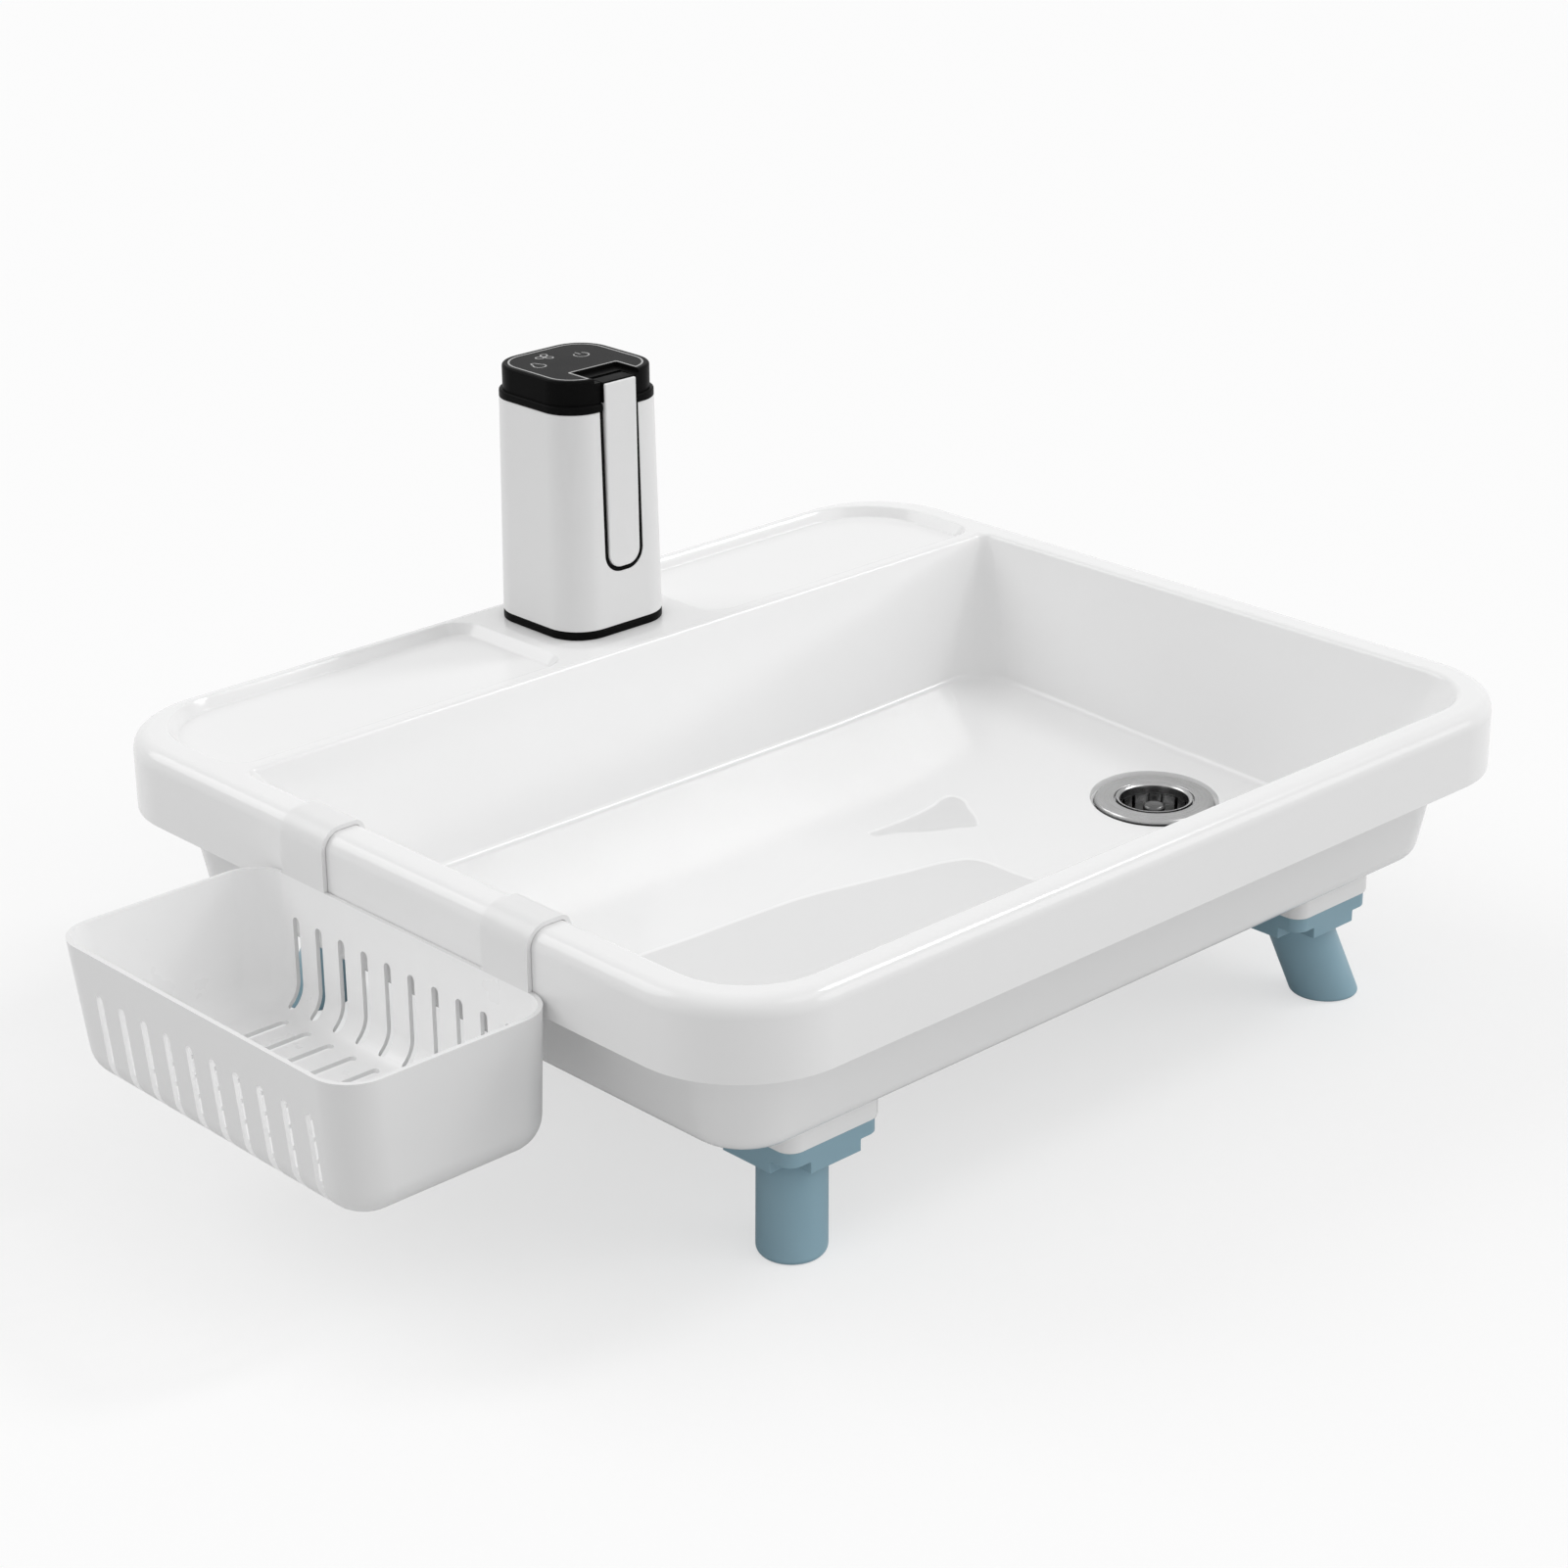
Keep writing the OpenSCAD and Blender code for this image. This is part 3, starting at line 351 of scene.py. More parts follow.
def mouldedPlastic(name, pale, deep, cloud, gloss, ripple, grain, ior=1.49, specular=0.5):
    # an even colour with faint clouds; gloss that handling has changed in patches (roughness, its change, the
    # patches' size); a soft ripple and a fine grain of the mould (strength and size); sizes in millimetres
    material, tree, place = startMaterial(name)
    roughness, change, patches = gloss
    soft = addBump(tree, addNoise(tree, place, 1000 / ripple[1]), ripple[0], 0.0002)
    closeMaterial(tree, {
        "Base Color": addBlend(tree, addNoise(tree, place, 1000 / cloud, 3.0), deep, pale),
        "Roughness": addRange(tree, addNoise(tree, place, 1000 / patches, 4.0), 0.35, 0.65,
                              roughness - change, roughness + change),
        "Normal": addBump(tree, addNoise(tree, place, 1000 / grain[1]), grain[0], 0.00005, Normal=soft),
        "IOR": ior, "Specular IOR Level": specular})
    return material


# Polished polypropylene of the tub, with broad soft highlights
tubPlastic = mouldedPlastic(
    "glossPolypropyleneWhite", "#F4F4F4", "#F2F2F2", cloud=120,
    gloss=(0.15, 0.025, 60), ripple=(0.05, 18), grain=(0.05, 1.5), specular=0.42)
# The same plastic, a little darker and rougher, in the two sunk fields of the floor
reliefPlastic = mouldedPlastic(
    "darkerRoughPolypropyleneWhite", "#E6E6E6", "#E3E3E3", cloud=120,
    gloss=(0.34, 0.03, 60), ripple=(0.05, 18), grain=(0.1, 1.2))
# and on the step round them, painted lighter as a highlight
stepPlastic = mouldedPlastic(
    "paintedHighlightStepWhite", "#FCFCFC", "#FAFAFA", cloud=120,
    gloss=(0.2, 0.02, 60), ripple=(0.02, 18), grain=(0.02, 1.5))
# Polished polypropylene inside the basket, painted lighter where light falls in
insidePlastic = mouldedPlastic(
    "paintedLightBasketInside", "#FCFCFC", "#FAFAFA", cloud=60,
    gloss=(0.3, 0.03, 40), ripple=(0.05, 12), grain=(0.04, 1.2))
# Satin polypropylene outside it, painted a little greyer as shade
basketPlastic = mouldedPlastic(
    "paintedShadeBasketOutside", "#EDEDED", "#EAEAEA", cloud=60,
    gloss=(0.34, 0.03, 40), ripple=(0.05, 12), grain=(0.08, 1.2))
# Blue-grey polypropylene of the legs, dry to the touch
legPlastic = mouldedPlastic(
    "mattPolypropyleneBlueGrey", "#8FB0BE", "#86A7B6", cloud=25,
    gloss=(0.42, 0.05, 20), ripple=(0.08, 9), grain=(0.2, 0.8))
# Fine-textured ABS of the pump's housing
housingPlastic = mouldedPlastic(
    "satinAbsWhite", "#E9E9E9", "#E6E6E6", cloud=50,
    gloss=(0.38, 0.03, 30), ripple=(0.03, 14), grain=(0.12, 0.7), ior=1.53)
# Soft-touch black of the cap, cradle and foot
blackPlastic = mouldedPlastic(
    "softTouchAbsBlack", "#121212", "#0E0E0E", cloud=30,
    gloss=(0.36, 0.05, 16), ripple=(0.03, 10), grain=(0.04, 0.6), ior=1.5, specular=0.022)
# Acrylic touch panel over a black backing
panelAcrylic = mouldedPlastic(
    "antiGlareAcrylicBlack", "#101011", "#0D0D0E", cloud=40,
    gloss=(0.2, 0.04, 20), ripple=(0.01, 20), grain=(0.02, 0.8), specular=0.015)
# Screen-printed grey ink on the panel
printInk = mouldedPlastic(
    "screenInkGrey", "#B4B4B4", "#A6A6A6", cloud=4,
    gloss=(0.5, 0.05, 5), ripple=(0.02, 6), grain=(0.3, 0.4), ior=1.5)
# Natural-coloured polypropylene of the nut, tail and pump head
fittingPlastic = mouldedPlastic(
    "naturalPolypropylene", "#DADAD6", "#D0D0CB", cloud=14,
    gloss=(0.4, 0.05, 12), ripple=(0.1, 7), grain=(0.25, 0.6))
nozzleSilicone = mouldedPlastic(
    "siliconeGrey", "#4A4A4A", "#424242", cloud=5,
    gloss=(0.6, 0.05, 4), ripple=(0.1, 3), grain=(0.3, 0.4), ior=1.43)
# Black rubber of the gaskets, with a dusty bloom
gasketRubber = mouldedPlastic(
    "nitrileRubberBlack", "#343434", "#262626", cloud=8,
    gloss=(0.7, 0.06, 6), ripple=(0.2, 3), grain=(0.4, 0.5), ior=1.52)
cellWrap = mouldedPlastic(
    "shrinkWrapBlue", "#3479B5", "#2C6DA6", cloud=12,
    gloss=(0.3, 0.05, 8), ripple=(0.15, 5), grain=(0.05, 1.0), ior=1.54)
print("plastics made")


def workedSteel(name, pale, deep, line, gloss, bump, grain, middle=None):
    # lines left by turning or drawing, some millimetres apart: rings round a middle, or level ones;
    # gloss is the roughness and its change
    material, tree, place = startMaterial(name)
    if middle is None:
        across = addNode(tree, 'SeparateXYZ', {0: place})[2]
    else:
        centred = addNode(tree, 'Mapping', {"Vector": place, "Location": middle})[0]
        parts = addNode(tree, 'SeparateXYZ', {0: centred})
        flat = addNode(tree, 'CombineXYZ', {0: parts[0], 1: parts[1]})[0]
        across = addNode(tree, 'VectorMath', {0: flat}, operation='LENGTH')["Value"]
    along = addMath(tree, 'MULTIPLY', across, 1000 / line)
    lines = addNode(tree, 'TexNoise', {"W": along, "Scale": 1.0, "Detail": 3.0}, noise_dimensions='1D')["Fac"]
    closeMaterial(tree, {"Base Color": addBlend(tree, addNoise(tree, place, 90.0, 4.0), deep, pale), "Metallic": 1.0,
                         "Roughness": addRange(tree, lines, 0.3, 0.7, gloss[0] - gloss[1], gloss[0] + gloss[1]),
                         "Normal": addBump(tree, lines, bump, 0.0001), "Anisotropic": grain})
    return material


drainLow, drainHigh = nodeBox("drain_flange")
drainMiddle = (drainLow + drainHigh) / 2
drainPlace = -(drainMiddle + tubMiddle) * mm
# Stainless steel of the drain, spun and brushed in rings; the lines are drawn wider than the real 0.1 mm
drainSteel = workedSteel("brushedStainlessRings", "#B4B4B4", "#A2A2A2", line=0.5, gloss=(0.24, 0.08),
                         bump=0.25, grain=0.4, middle=drainPlace)
# The knob of the cup: the same steel, painted dark grey as the shade in the drain's throat
knobSteel = workedSteel("paintedShadeStainlessKnob", "#6E6E6E", "#4C4C4C", line=0.8, gloss=(0.22, 0.1),
                        bump=0.35, grain=0.3, middle=drainPlace)
screwSteel = workedSteel("zincPlatedSteel", "#C4C6C8", "#A9ACB0", line=0.8, gloss=(0.32, 0.06), bump=0.1, grain=0.2)
motorSteel = workedSteel("drawnSteelCan", "#B9BBBD", "#9EA1A4", line=1.2, gloss=(0.35, 0.08), bump=0.1, grain=0.3)

tubeSilicone, tree, place = startMaterial("siliconeTubeMilky")
milk = addBlend(tree, addNoise(tree, place, 200.0), "#CBD8DC", "#DCE6E8")
closeMaterial(tree, {"Base Color": milk, "Roughness": 0.3, "IOR": 1.43, "Transmission Weight": 0.35,
                     "Subsurface Weight": 0.1})

# Solder mask over copper tracks
boardMask, tree, place = startMaterial("solderMaskGreen")
tracks = addNode(tree, 'TexBrick', {
    "Vector": place, "Scale": 120.0, "Color1": tint("#1F6B3E"), "Color2": tint("#237546"),
    "Mortar": tint("#2F8A55"), "Mortar Size": 0.03})
closeMaterial(tree, {"Base Color": tracks["Color"], "Roughness": 0.35,
                     "Normal": addBump(tree, tracks["Fac"], 0.2, 0.0001)})
print("metals and inner materials made")

# Tub moulding: rim, skirt, ledge trays, walls and floor in one sheet
tub = Numbers(
    wall=3.0, rimCorner=62.0, rimEdge=9.5,  # plan radius of the rim and rounding of its edge
    sideFlat=21.0, frontFlat=17.0, ledge=116.0,  # rim beside, in front of and behind the tub
    sideLean=31.0, frontLean=32.0, backLean=25.0,  # how far the walls come in on the way down
    floorFront=91.0, floorBack=80.0, levelTo=-131.5, riseTo=107.5,
    frontCorner=44.0, backCorner=7.0, backFloorCorner=27.0, floorRound=5.5,
    mouthRound=3.8, mouthOut=2.5, wallTilt=21.0,  # rounding at the mouth, tilt of the walls in degrees
    dish=37.0, dishOut=(1.0, 0.8), dishSlope=0.6, dishSink=0.25,  # level pocket that takes the drain
    sideLow=128.0, sideLift=3.6,  # the floor lifts a little to the right of this line
    recess=34.9, drainHole=25.3, seat=90.8,  # pocket of the drain flange, its hole and its depth
    hoseHole=7.0, hoseBack=4.0,  # hole for the pump's barb, behind the pump's middle
    skirtBelow=8.0)  # the skirt ends below the pan's top
tray = Numbers(depth=6.0, lean=4.2, ridge=9.0, back=12.0, seat=113.0, bigCorner=50.0, corner=15.0,
               topRound=1.6, floorRound=1.9)
# Sunk fields of the floor: points on their outlines
relief = Numbers(
    depth=0.8, slope=1.5,
    petal=[(33, -5), (47, -3), (66, -3), (90, 0), (99, 3), (107, 2), (109, -6), (103, -17), (95, -31), (88, -37),
           (78, -32), (64, -26), (48, -15)],
    apron=[(-226, -26), (-195, -28), (-164, -31), (-131, -33.5), (-90, -35), (-47, -38), (-18, -44), (13, -51),
           (46, -58.5), (55, -64), (59, -73), (60, -84), (61, -96), (66, -120), (70, -150), (66, -180), (40, -191),
           (-60, -192), (-160, -192), (-205, -188), (-226, -160), (-229, -100)])
halfLength = (rimHigh.x - rimLow.x) / 2
halfWidth = (rimHigh.y - rimLow.y) / 2
rimTop = rimHigh.z
panLow, panHigh = nodeBox("under_pan")
skirtBottom = panHigh.z - tub.skirtBelow
px, py = [(low + high) / 2 for low, high in zip(*nodeBox("pump_foot"))][:2]
hoseMiddle = (px, py + tub.hoseBack)
tubX, tubFront, tubBack = halfLength - tub.sideFlat, halfWidth - tub.frontFlat, halfWidth - tub.ledge


def tubLoop(bm, sideIn, frontIn, backIn, height, frontCorner, backCorner):
    return addLoop(bm, sideIn - tubX, tubX - sideIn, frontIn - tubFront, tubBack - backIn, height,
                   (frontCorner, frontCorner, backCorner, backCorner), 12)


def trayLoops(bm, side):
    # a tray's outlines from the ledge down to its floor; the big corner is at the back and outside
    t = tray
    near = px + side * t.seat / 2
    steps = [(-inset, depth) for depth, inset in quarter(t.topRound, (0, 22, 45, 67))]
    steps.append((t.lean / t.depth * t.topRound * 0.6, t.topRound))
    steps += [(t.lean - t.floorRound * 0.5 + come, t.depth - rest)
              for come, rest in quarter(t.floorRound, (25, 40, 55, 72, 90))]
    loops = []
    for inset, depth in steps:
        ends = sorted((near + side * inset, side * (tubX - inset)))
        big, small = t.bigCorner - inset, t.corner - inset
        radii = (small, small, big, small) if side > 0 else (small, small, small, big)
        loops.append(addLoop(bm, *ends, tubBack + t.ridge + inset, halfWidth - t.back - inset, -depth, radii))
    return loops


def makeTub():
    t = tub
    bm = bmesh.new()
    # walls and floor, drawn as deep as at the front, with the rim's top at height 0
    mouth = []
    for angle in spaced(0, 90 - t.wallTilt, 6):
        out = t.mouthOut - t.mouthRound * sine(angle)
        mouth.append(tubLoop(bm, -out, -out, -out, t.mouthRound * (cosine(angle) - 1),
                             t.frontCorner + out, t.backCorner + out))
    turn = quarter(t.floorRound, spaced(t.wallTilt, 90, 8))
    walls, leans = [], (t.sideLean, t.frontLean, t.backLean)
    for i in range(1, 9):
        share = 0.03 + 0.97 * i / 8
        come = turn[0][0] * share
        walls.append(tubLoop(bm, *(lean * share + come for lean in leans),
                             -share * (t.floorFront - turn[0][1]), t.frontCorner - come,
                             t.backCorner + (t.backFloorCorner - t.backCorner) * share - come))
    turned = [tubLoop(bm, *(lean + come for lean in leans), rest - t.floorFront, t.frontCorner - come,
                      t.backFloorCorner - come) for come, rest in turn[1:]]
    bridge(bm, mouth + walls + turned)
    floor = -t.floorFront
    dishMiddle = drainMiddle.xy + Vector(t.dishOut)
    dish = addRing(bm, dishMiddle, t.dish, floor)
    outlines = [addCurve(bm, points, floor) for points in (relief.petal, relief.apron)]
    fill(bm, [turned[-1], dish, *outlines])
    for outline in outlines:
        faces = fill(bm, [outline])
        ops.recalc_face_normals(bm, faces=faces)
        if faces[0].normal.z < 0:
            ops.reverse_faces(bm, faces=faces)
        slope = ops.inset_region(bm, faces=faces, use_boundary=True, use_even_offset=True,
                                 thickness=relief.slope, depth=-relief.depth)["faces"]
        for face in faces:
            face.material_index = 1
        # the step's slope faces take the plastic painted lighter as a highlight
        for face in slope:
            face.material_index = 2
    inside = ops.bisect_plane(bm, geom=everything(bm), plane_co=(0, t.levelTo, 0), plane_no=(0, 1, 0))["geom"]
    ops.bisect_plane(bm, geom=inside, plane_co=(t.sideLow, 0, 0), plane_no=(1, 0, 0))
    for vert in bm.verts:  # the floor rises towards the back, and the walls with it
        rise = max(0, min(1, (vert.co.y - t.levelTo) / (t.riseTo - t.levelTo)))
        lift = max(0, (vert.co.x - t.sideLow) / (tubX - t.sideLean - t.sideLow)) * t.sideLift
        vert.co.z *= 1 - rise * (1 - t.floorBack / t.floorFront) - min(lift, t.sideLift) / t.floorFront
    bare = [edge for edge in bm.edges if edge.is_boundary]
    dish = [edge for edge in bare if abs((edge.verts[0].co.xy - dishMiddle).length - t.dish) < 0.01]
    brim = [edge for edge in bare if edge not in dish]
    dishLevel = t.dishSink - min(vert.co.z for edge in dish for vert in edge.verts)
    level = extrudeLoop(bm, dish, scale=1 - t.dishSlope / t.dish, centre=dishMiddle)
    for edge in level:
        for vert in edge.verts:
            vert.co.z = -dishLevel
    drain = addRing(bm, drainMiddle, t.recess, -dishLevel)
    fill(bm, [level, drain])
    seat = extrudeLoop(bm, drain, (0, 0, dishLevel - t.seat))
    extrudeLoop(bm, seat, scale=t.drainHole / t.recess, centre=drainMiddle)
    # rim: skirt, rounded edge and the flat top with everything let into it
    rim = [centredLoop(bm, halfLength, halfWidth, 0, skirtBottom - rimTop, t.rimCorner, 16)]
    rim += [centredLoop(bm, halfLength, halfWidth, come, -rest, t.rimCorner - come, 16)
            for come, rest in quarter(t.rimEdge, spaced(0, 90, 8))]
    bridge(bm, rim)
    hose = addRing(bm, hoseMiddle, t.hoseHole, 0, 32)
    trays = [trayLoops(bm, side) for side in (-1, 1)]
    for loops in trays:
        bridge(bm, loops)
        fill(bm, [loops[-1]])
    fill(bm, [rim[-1], brim, hose] + [loops[0] for loops in trays])
    return walled(moved(welded(bm), 0, 0, rimTop), t.wall, upwards=True, even=False)


finishPiece("tubMoulding", makeTub(), tubPlastic, "root", "basin", sharp=40, edge=0.5,
            others=[reliefPlastic, stepPlastic])
print("tub moulded")

# Pan moulding under the tub, with the legs' sockets
pan = Numbers(wall=3.0, inset=25.0, lean=9.0, corner=41.0, round=11.0, gap=3.3, neckRound=2.5,
              block=64.6, blockHigh=14.7, blockCorner=9.0, blockRound=1.4, pocket=36.6, pocketCorner=4.0,
              pocketDeep=12.3, nutHole=38.0, legX=192.5, legY=179.5)


def makePan():
    p = pan
    bottom, top = panLow.z + p.blockHigh, panHigh.z - p.wall
    bm = bmesh.new()
    loops = [centredLoop(bm, halfLength, halfWidth, p.gap, top, tub.rimCorner - p.gap, 12)]
    slope = p.lean / (skirtBottom - bottom)
    profile = [(-slope * (top - skirtBottom) - rest, top - come)  # the neck between the flange and the wall
               for come, rest in quarter(p.neckRound, (0, 30, 60, 90))]
    profile += [(p.lean + come, bottom + rest) for come, rest in quarter(p.round, spaced(9, 90, 8))]
    loops += [centredLoop(bm, halfLength - p.inset, halfWidth - p.inset, inset, height, p.corner - inset, 12)
              for inset, height in profile]
    bridge(bm, loops)
    openings = [loops[-1], addRing(bm, drainMiddle, p.nutHole, bottom),
                addRing(bm, hoseMiddle, tub.hoseHole, bottom, 32)]
    steps = [(p.block / 2, bottom, p.blockCorner)]
    steps += [(p.block / 2 - come, panLow.z + rest, p.blockCorner - come)
              for come, rest in quarter(p.blockRound, (0, 45, 90))]
    steps += [(p.pocket / 2, panLow.z + deep, p.pocketCorner) for deep in (0, p.pocketDeep)]
    for x, y in [(x * p.legX, y * p.legY) for x, y in signs]:
        socket = [addLoop(bm, x - half, x + half, y - half, y + half, height, [corner] * 4, 8)
                  for half, height, corner in steps]
        bridge(bm, socket)
        fill(bm, [socket[-1]])
        openings.append(socket[0])
    fill(bm, openings)
    return walled(welded(bm), p.wall)


finishPiece("panMoulding", makePan(), tubPlastic, "root", "under_pan", sharp=40, edge=0.5)
print("pan moulded")

# Legs: a square plate with a notched collar, a spigot above and a splayed stub below
leg = Numbers(plate=62.0, corner=8.0, thick=8.2, notch=14.0, collar=6.4, spigot=36.0, spigotCorner=3.7,
              stub=36.0, stubLong=160, out=2.5, lean=13.0, endRound=2.6, edge=1.1)


def makeLeg(name, sideX, sideY):
    g = leg
    top, spigotTop = panLow.z, nodeBox(name)[1].z
    plateLow, collarLow = top - g.thick, top - g.thick - g.collar
    half = g.plate / 2
    notches = [prism(*(sorted((side * (half - g.notch), side * (half + past))) for side in corner),
                     (collarLow - past, plateLow)) for corner in signs]
    plate = prism((-half, half), (-half, half), (collarLow, top), [g.corner] * 4)
    plate = combine(plate, [together(notches)])
    half = g.spigot / 2
    spigot = prism((-half, half), (-half, half), (top - 2, spigotTop), [g.spigotCorner] * 4)
    stub = bmesh.new()
    ops.create_cone(stub, cap_ends=True, segments=64, radius1=g.stub / 2, radius2=g.stub / 2, depth=g.stubLong)
    tilt = Vector((g.lean, g.lean, -collarLow)).to_track_quat('-Z', 'Y').to_matrix().to_4x4()
    stub.transform(Matrix.Translation((g.out, g.out, collarLow)) @ tilt)
    for height, up in ((collarLow + 2, 1), (0, -1)):
        cut = ops.bisect_plane(stub, geom=everything(stub), plane_co=(0, 0, height), plane_no=(0, 0, up),
                               clear_outer=True)["geom_cut"]
        end = ofKind(cut, bmesh.types.BMEdge)
        ops.contextual_create(stub, geom=end)
    roundOff(stub, end, g.endRound, 5)
    bm = combine(plate, [spigot, outwards(stub)], 'UNION')
    bm.transform(Matrix.Diagonal((sideX, sideY, 1, 1)))
    return moved(outwards(bm), sideX * pan.legX, sideY * pan.legY)


for sideX, sideY in signs:
    side = ("front" if sideY < 0 else "back", "left" if sideX < 0 else "right")
    name = "leg_%s_%s" % side
    finishPiece("%s%sLeg" % side, makeLeg(name, sideX, sideY), legPlastic, "%s_%s_leg" % side, name,
                sharp=32, edge=leg.edge, edgeSteps=3)
print("legs made")

# Hanging basket: one sheet whose back wall runs up and over the rim as two straps
basket = Numbers(wall=2.4, below=31.0, corner=22.0, round=18.0, lean=6.0, endLean=3.5, strap=38.0, strapY=82.0,
                 lip=16.0, gap=0.3, slots=10, pitch=19.0, slot=5.5, slotDrop=22.0, slotStop=19.0, slotIn=7.0,
                 shift=3.5, edge=0.6)


def makeBasket():
    b = basket
    low, high = nodeBox("hanging_basket")
    back, brim = -halfLength - b.gap, rimTop - b.below
    middle = (low.y + high.y) / 2
    bm = bmesh.new()
    loops = [addLoop(bm, low.x, back, low.y, high.y, brim, [b.corner] * 4, 14)]
    loops += [addLoop(bm, low.x + b.lean + come, back - come, low.y + b.endLean + come,
                      high.y - b.endLean - come, low.z + rest, [max(b.corner - come, 2)] * 4, 14)
              for come, rest in quarter(b.round, spaced(4, 90, 9))]
    bridge(bm, loops)
    fill(bm, [loops[-1]])
    straps = [middle + side * b.strapY for side in (-1, 1)]
    for y in straps:
        for edge in (-1, 1):
            ops.bisect_plane(bm, geom=everything(bm), plane_co=(0, y + edge * b.strap / 2, 0), plane_no=(0, 1, 0))
    edges = [edge for edge in bm.edges if edge.is_boundary
             and all(abs(vert.co.x - back) < 0.01 and vert.co.z > brim - 0.01 for vert in edge.verts)
             and any(abs((edge.verts[0].co.y + edge.verts[1].co.y) / 2 - y) < b.strap / 2 for y in straps)]
    edge, mouth = tub.rimEdge, tub.mouthRound
    path = arcPoints(edge - halfLength, rimTop - edge, edge + b.gap, 180, 90, 10)
    path += arcPoints(-tubX - tub.mouthOut, rimTop - mouth, mouth + b.gap, 90, 30, 6)
    lean = tub.sideLean / (tub.floorBack - tub.floorRound)
    path.append((-tubX + lean * b.lip - 0.4, rimTop - b.lip))
    here = (back, brim)
    for place in path:
        edges = extrudeLoop(bm, edges, (place[0] - here[0], 0, place[1] - here[1]))
        here = place
    bm = walled(bm, b.wall)
    sharp = [edge for edge in bm.edges if edge.is_manifold and math.degrees(edge.calc_face_angle(0)) > 50]
    roundOff(bm, sharp, b.edge, 3, clamp=True)
    cutters = []
    half = b.slot / 2
    for i in range(b.slots):
        along = middle + (i - (b.slots - 1) / 2) * b.pitch
        # the outer row crosses the floor, the row at the rim ends in its fillet
        for start, end, inner, shift in ((low.x - past, back - b.slotStop + half, back - b.slotStop + half, -1),
                                         (back - b.slotIn - half, back + past, back - b.slotIn - half, 1)):
            y = along + shift * b.shift
            cutter = prism((y - half, y + half), (low.z - past, brim - b.slotDrop), (start, end),
                           (0, 0, half * 0.98, half * 0.98), 'X', 8)
            corners = [edge for edge in cutter.edges if all(abs(vert.co.x - inner) < 0.01 for vert in edge.verts)
                       and abs(edge.verts[0].co.y - edge.verts[1].co.y) < 0.01
                       and abs(edge.verts[0].co.z - edge.verts[1].co.z) > 10]
            roundOff(cutter, corners, half * 0.95, 6)
            cutters.append(cutter)
    bm = combine(bm, [together(cutters)])
    bm.normal_update()
    centre = Vector(((low.x + back) / 2, middle))
    for face in bm.faces:  # the inside and the slots' sides take the polished plastic, painted lighter as light
        place, turned = face.calc_center_median(), face.normal
        if place.x < back - 0.5 and place.z < brim - 1:
            slotSide = abs(turned.y) > 0.7 and abs(place.y - middle) < (high.y - low.y) / 2 - b.corner
            inwards = turned.xy.dot(place.xy - centre) < 0 if abs(turned.z) < 0.02 else turned.z > 0
            if slotSide or inwards:
                face.material_index = 1
    return bm


finishPiece("hangingBasket", makeBasket(), basketPlastic, "basket", "hanging_basket", sharp=34,
            others=[insidePlastic])
print("basket made")

# Drain: flange, strainer cup and knob, nut and tail; the gaskets keep their CAD shape
drain = Numbers(flange=34.5, thick=3.0, throat=23.0, tube=25.0, tubeInner=22.0,
                cup=21.0, cupDeep=20.0, steel=1.0, rebate=1.6, lip=22.2, slots=14, innerSlots=7,
                nut=31.0, nutBrim=32.6, lugs=8, tail=16.0, tailInner=13.0, ribs=16)


def makeFlange():
    d = drain
    top, seat = drainHigh.z, drainHigh.z - d.thick
    return lathe(
        [(d.tubeInner, drainLow.z), (d.tube - 0.6, drainLow.z), (d.tube, drainLow.z + 0.6),
         (d.tube, seat), (d.flange - 1.2, seat), (d.flange - 0.3, seat + 0.4)]
        + arcPoints(d.flange - 2.2, top - 2.0, 2.2, 0, 90, 6)[:-1]
        + [(d.flange - 3, top), (d.throat + 1.6, top)]
        + arcPoints(d.throat + 0.5, top - 0.5, 0.5, 90, 180, 4)
        + [(d.throat, top - d.rebate), (d.tubeInner, top - d.rebate)],
        drainMiddle, 128)


def makeCup():
    d = drain
    top = nodeBox("strainer_cup")[1].z - d.steel
    deep = top - d.cupDeep
    bm = lathe([(0, deep), (d.cup - 5, deep)] + arcPoints(d.cup - 5, deep + 4, 4, -90, 0, 5)
               + [(d.cup, top - 0.8)] + arcPoints(d.cup + 0.6, top + 0.1, 0.9, 180, 90, 3)[1:]
               + [(d.lip - 0.2, top + d.steel)], steps=112, closed=False)
    bm = walled(bm, d.steel * 0.95)
    slots = around(d.slots, lambda: together([
        prism((d.cup - 7.5, d.cup + 3), (-1.2, 1.2), (deep + 4.5, top - 4), [1.1] * 4, segments=4),
        prism((d.cup - 9.8, d.cup - 6.6), (-1.3, 1.3), (deep - 3, deep + 3), [1.1] * 4, segments=4)]))
    slots += around(d.innerSlots, lambda: prism((d.cup / 2 - 3.9, d.cup / 2 - 1.1), (-1.3, 1.3),
                                                   (deep - 3, deep + 3), [1.2] * 4, segments=4))
    return moved(combine(bm, [together(slots)]), *drainMiddle.xy)


def makeKnob():
    low, high = nodeBox("strainer_knob")
    return lathe([(0, low.z + 0.05), (4.2, low.z + 0.05), (4.0, low.z + 0.8), (2.5, low.z + 1.6), (2.2, low.z + 3),
                  (2.2, high.z - 6)] + arcPoints(3.7, high.z - 2.9, 2.75, -120, 82, 10) + [(0, high.z - 0.35)],
                 drainMiddle, 64, closed=False)


def makeNut():
    low, high = nodeBox("drain_nut")
    bore, edge, brim = drain.tube + 0.1, drain.nut, drain.nutBrim
    ring = lathe([(bore, low.z + 0.8), (bore + 0.8, low.z), (edge - 1, low.z), (edge, low.z + 1),
                  (edge, high.z - 1.4), (brim, high.z - 0.9), (brim, high.z), (bore, high.z)])
    lugs = around(drain.lugs, lambda: prism((bore + 2, (high.x - low.x) / 2 - 0.05), (-4, 4),
                                               (low.z + 0.5, high.z - 0.05), (0, 1.5, 1.5, 0)))
    return moved(combine(ring, [together(lugs)], 'UNION'), *drainMiddle.xy)


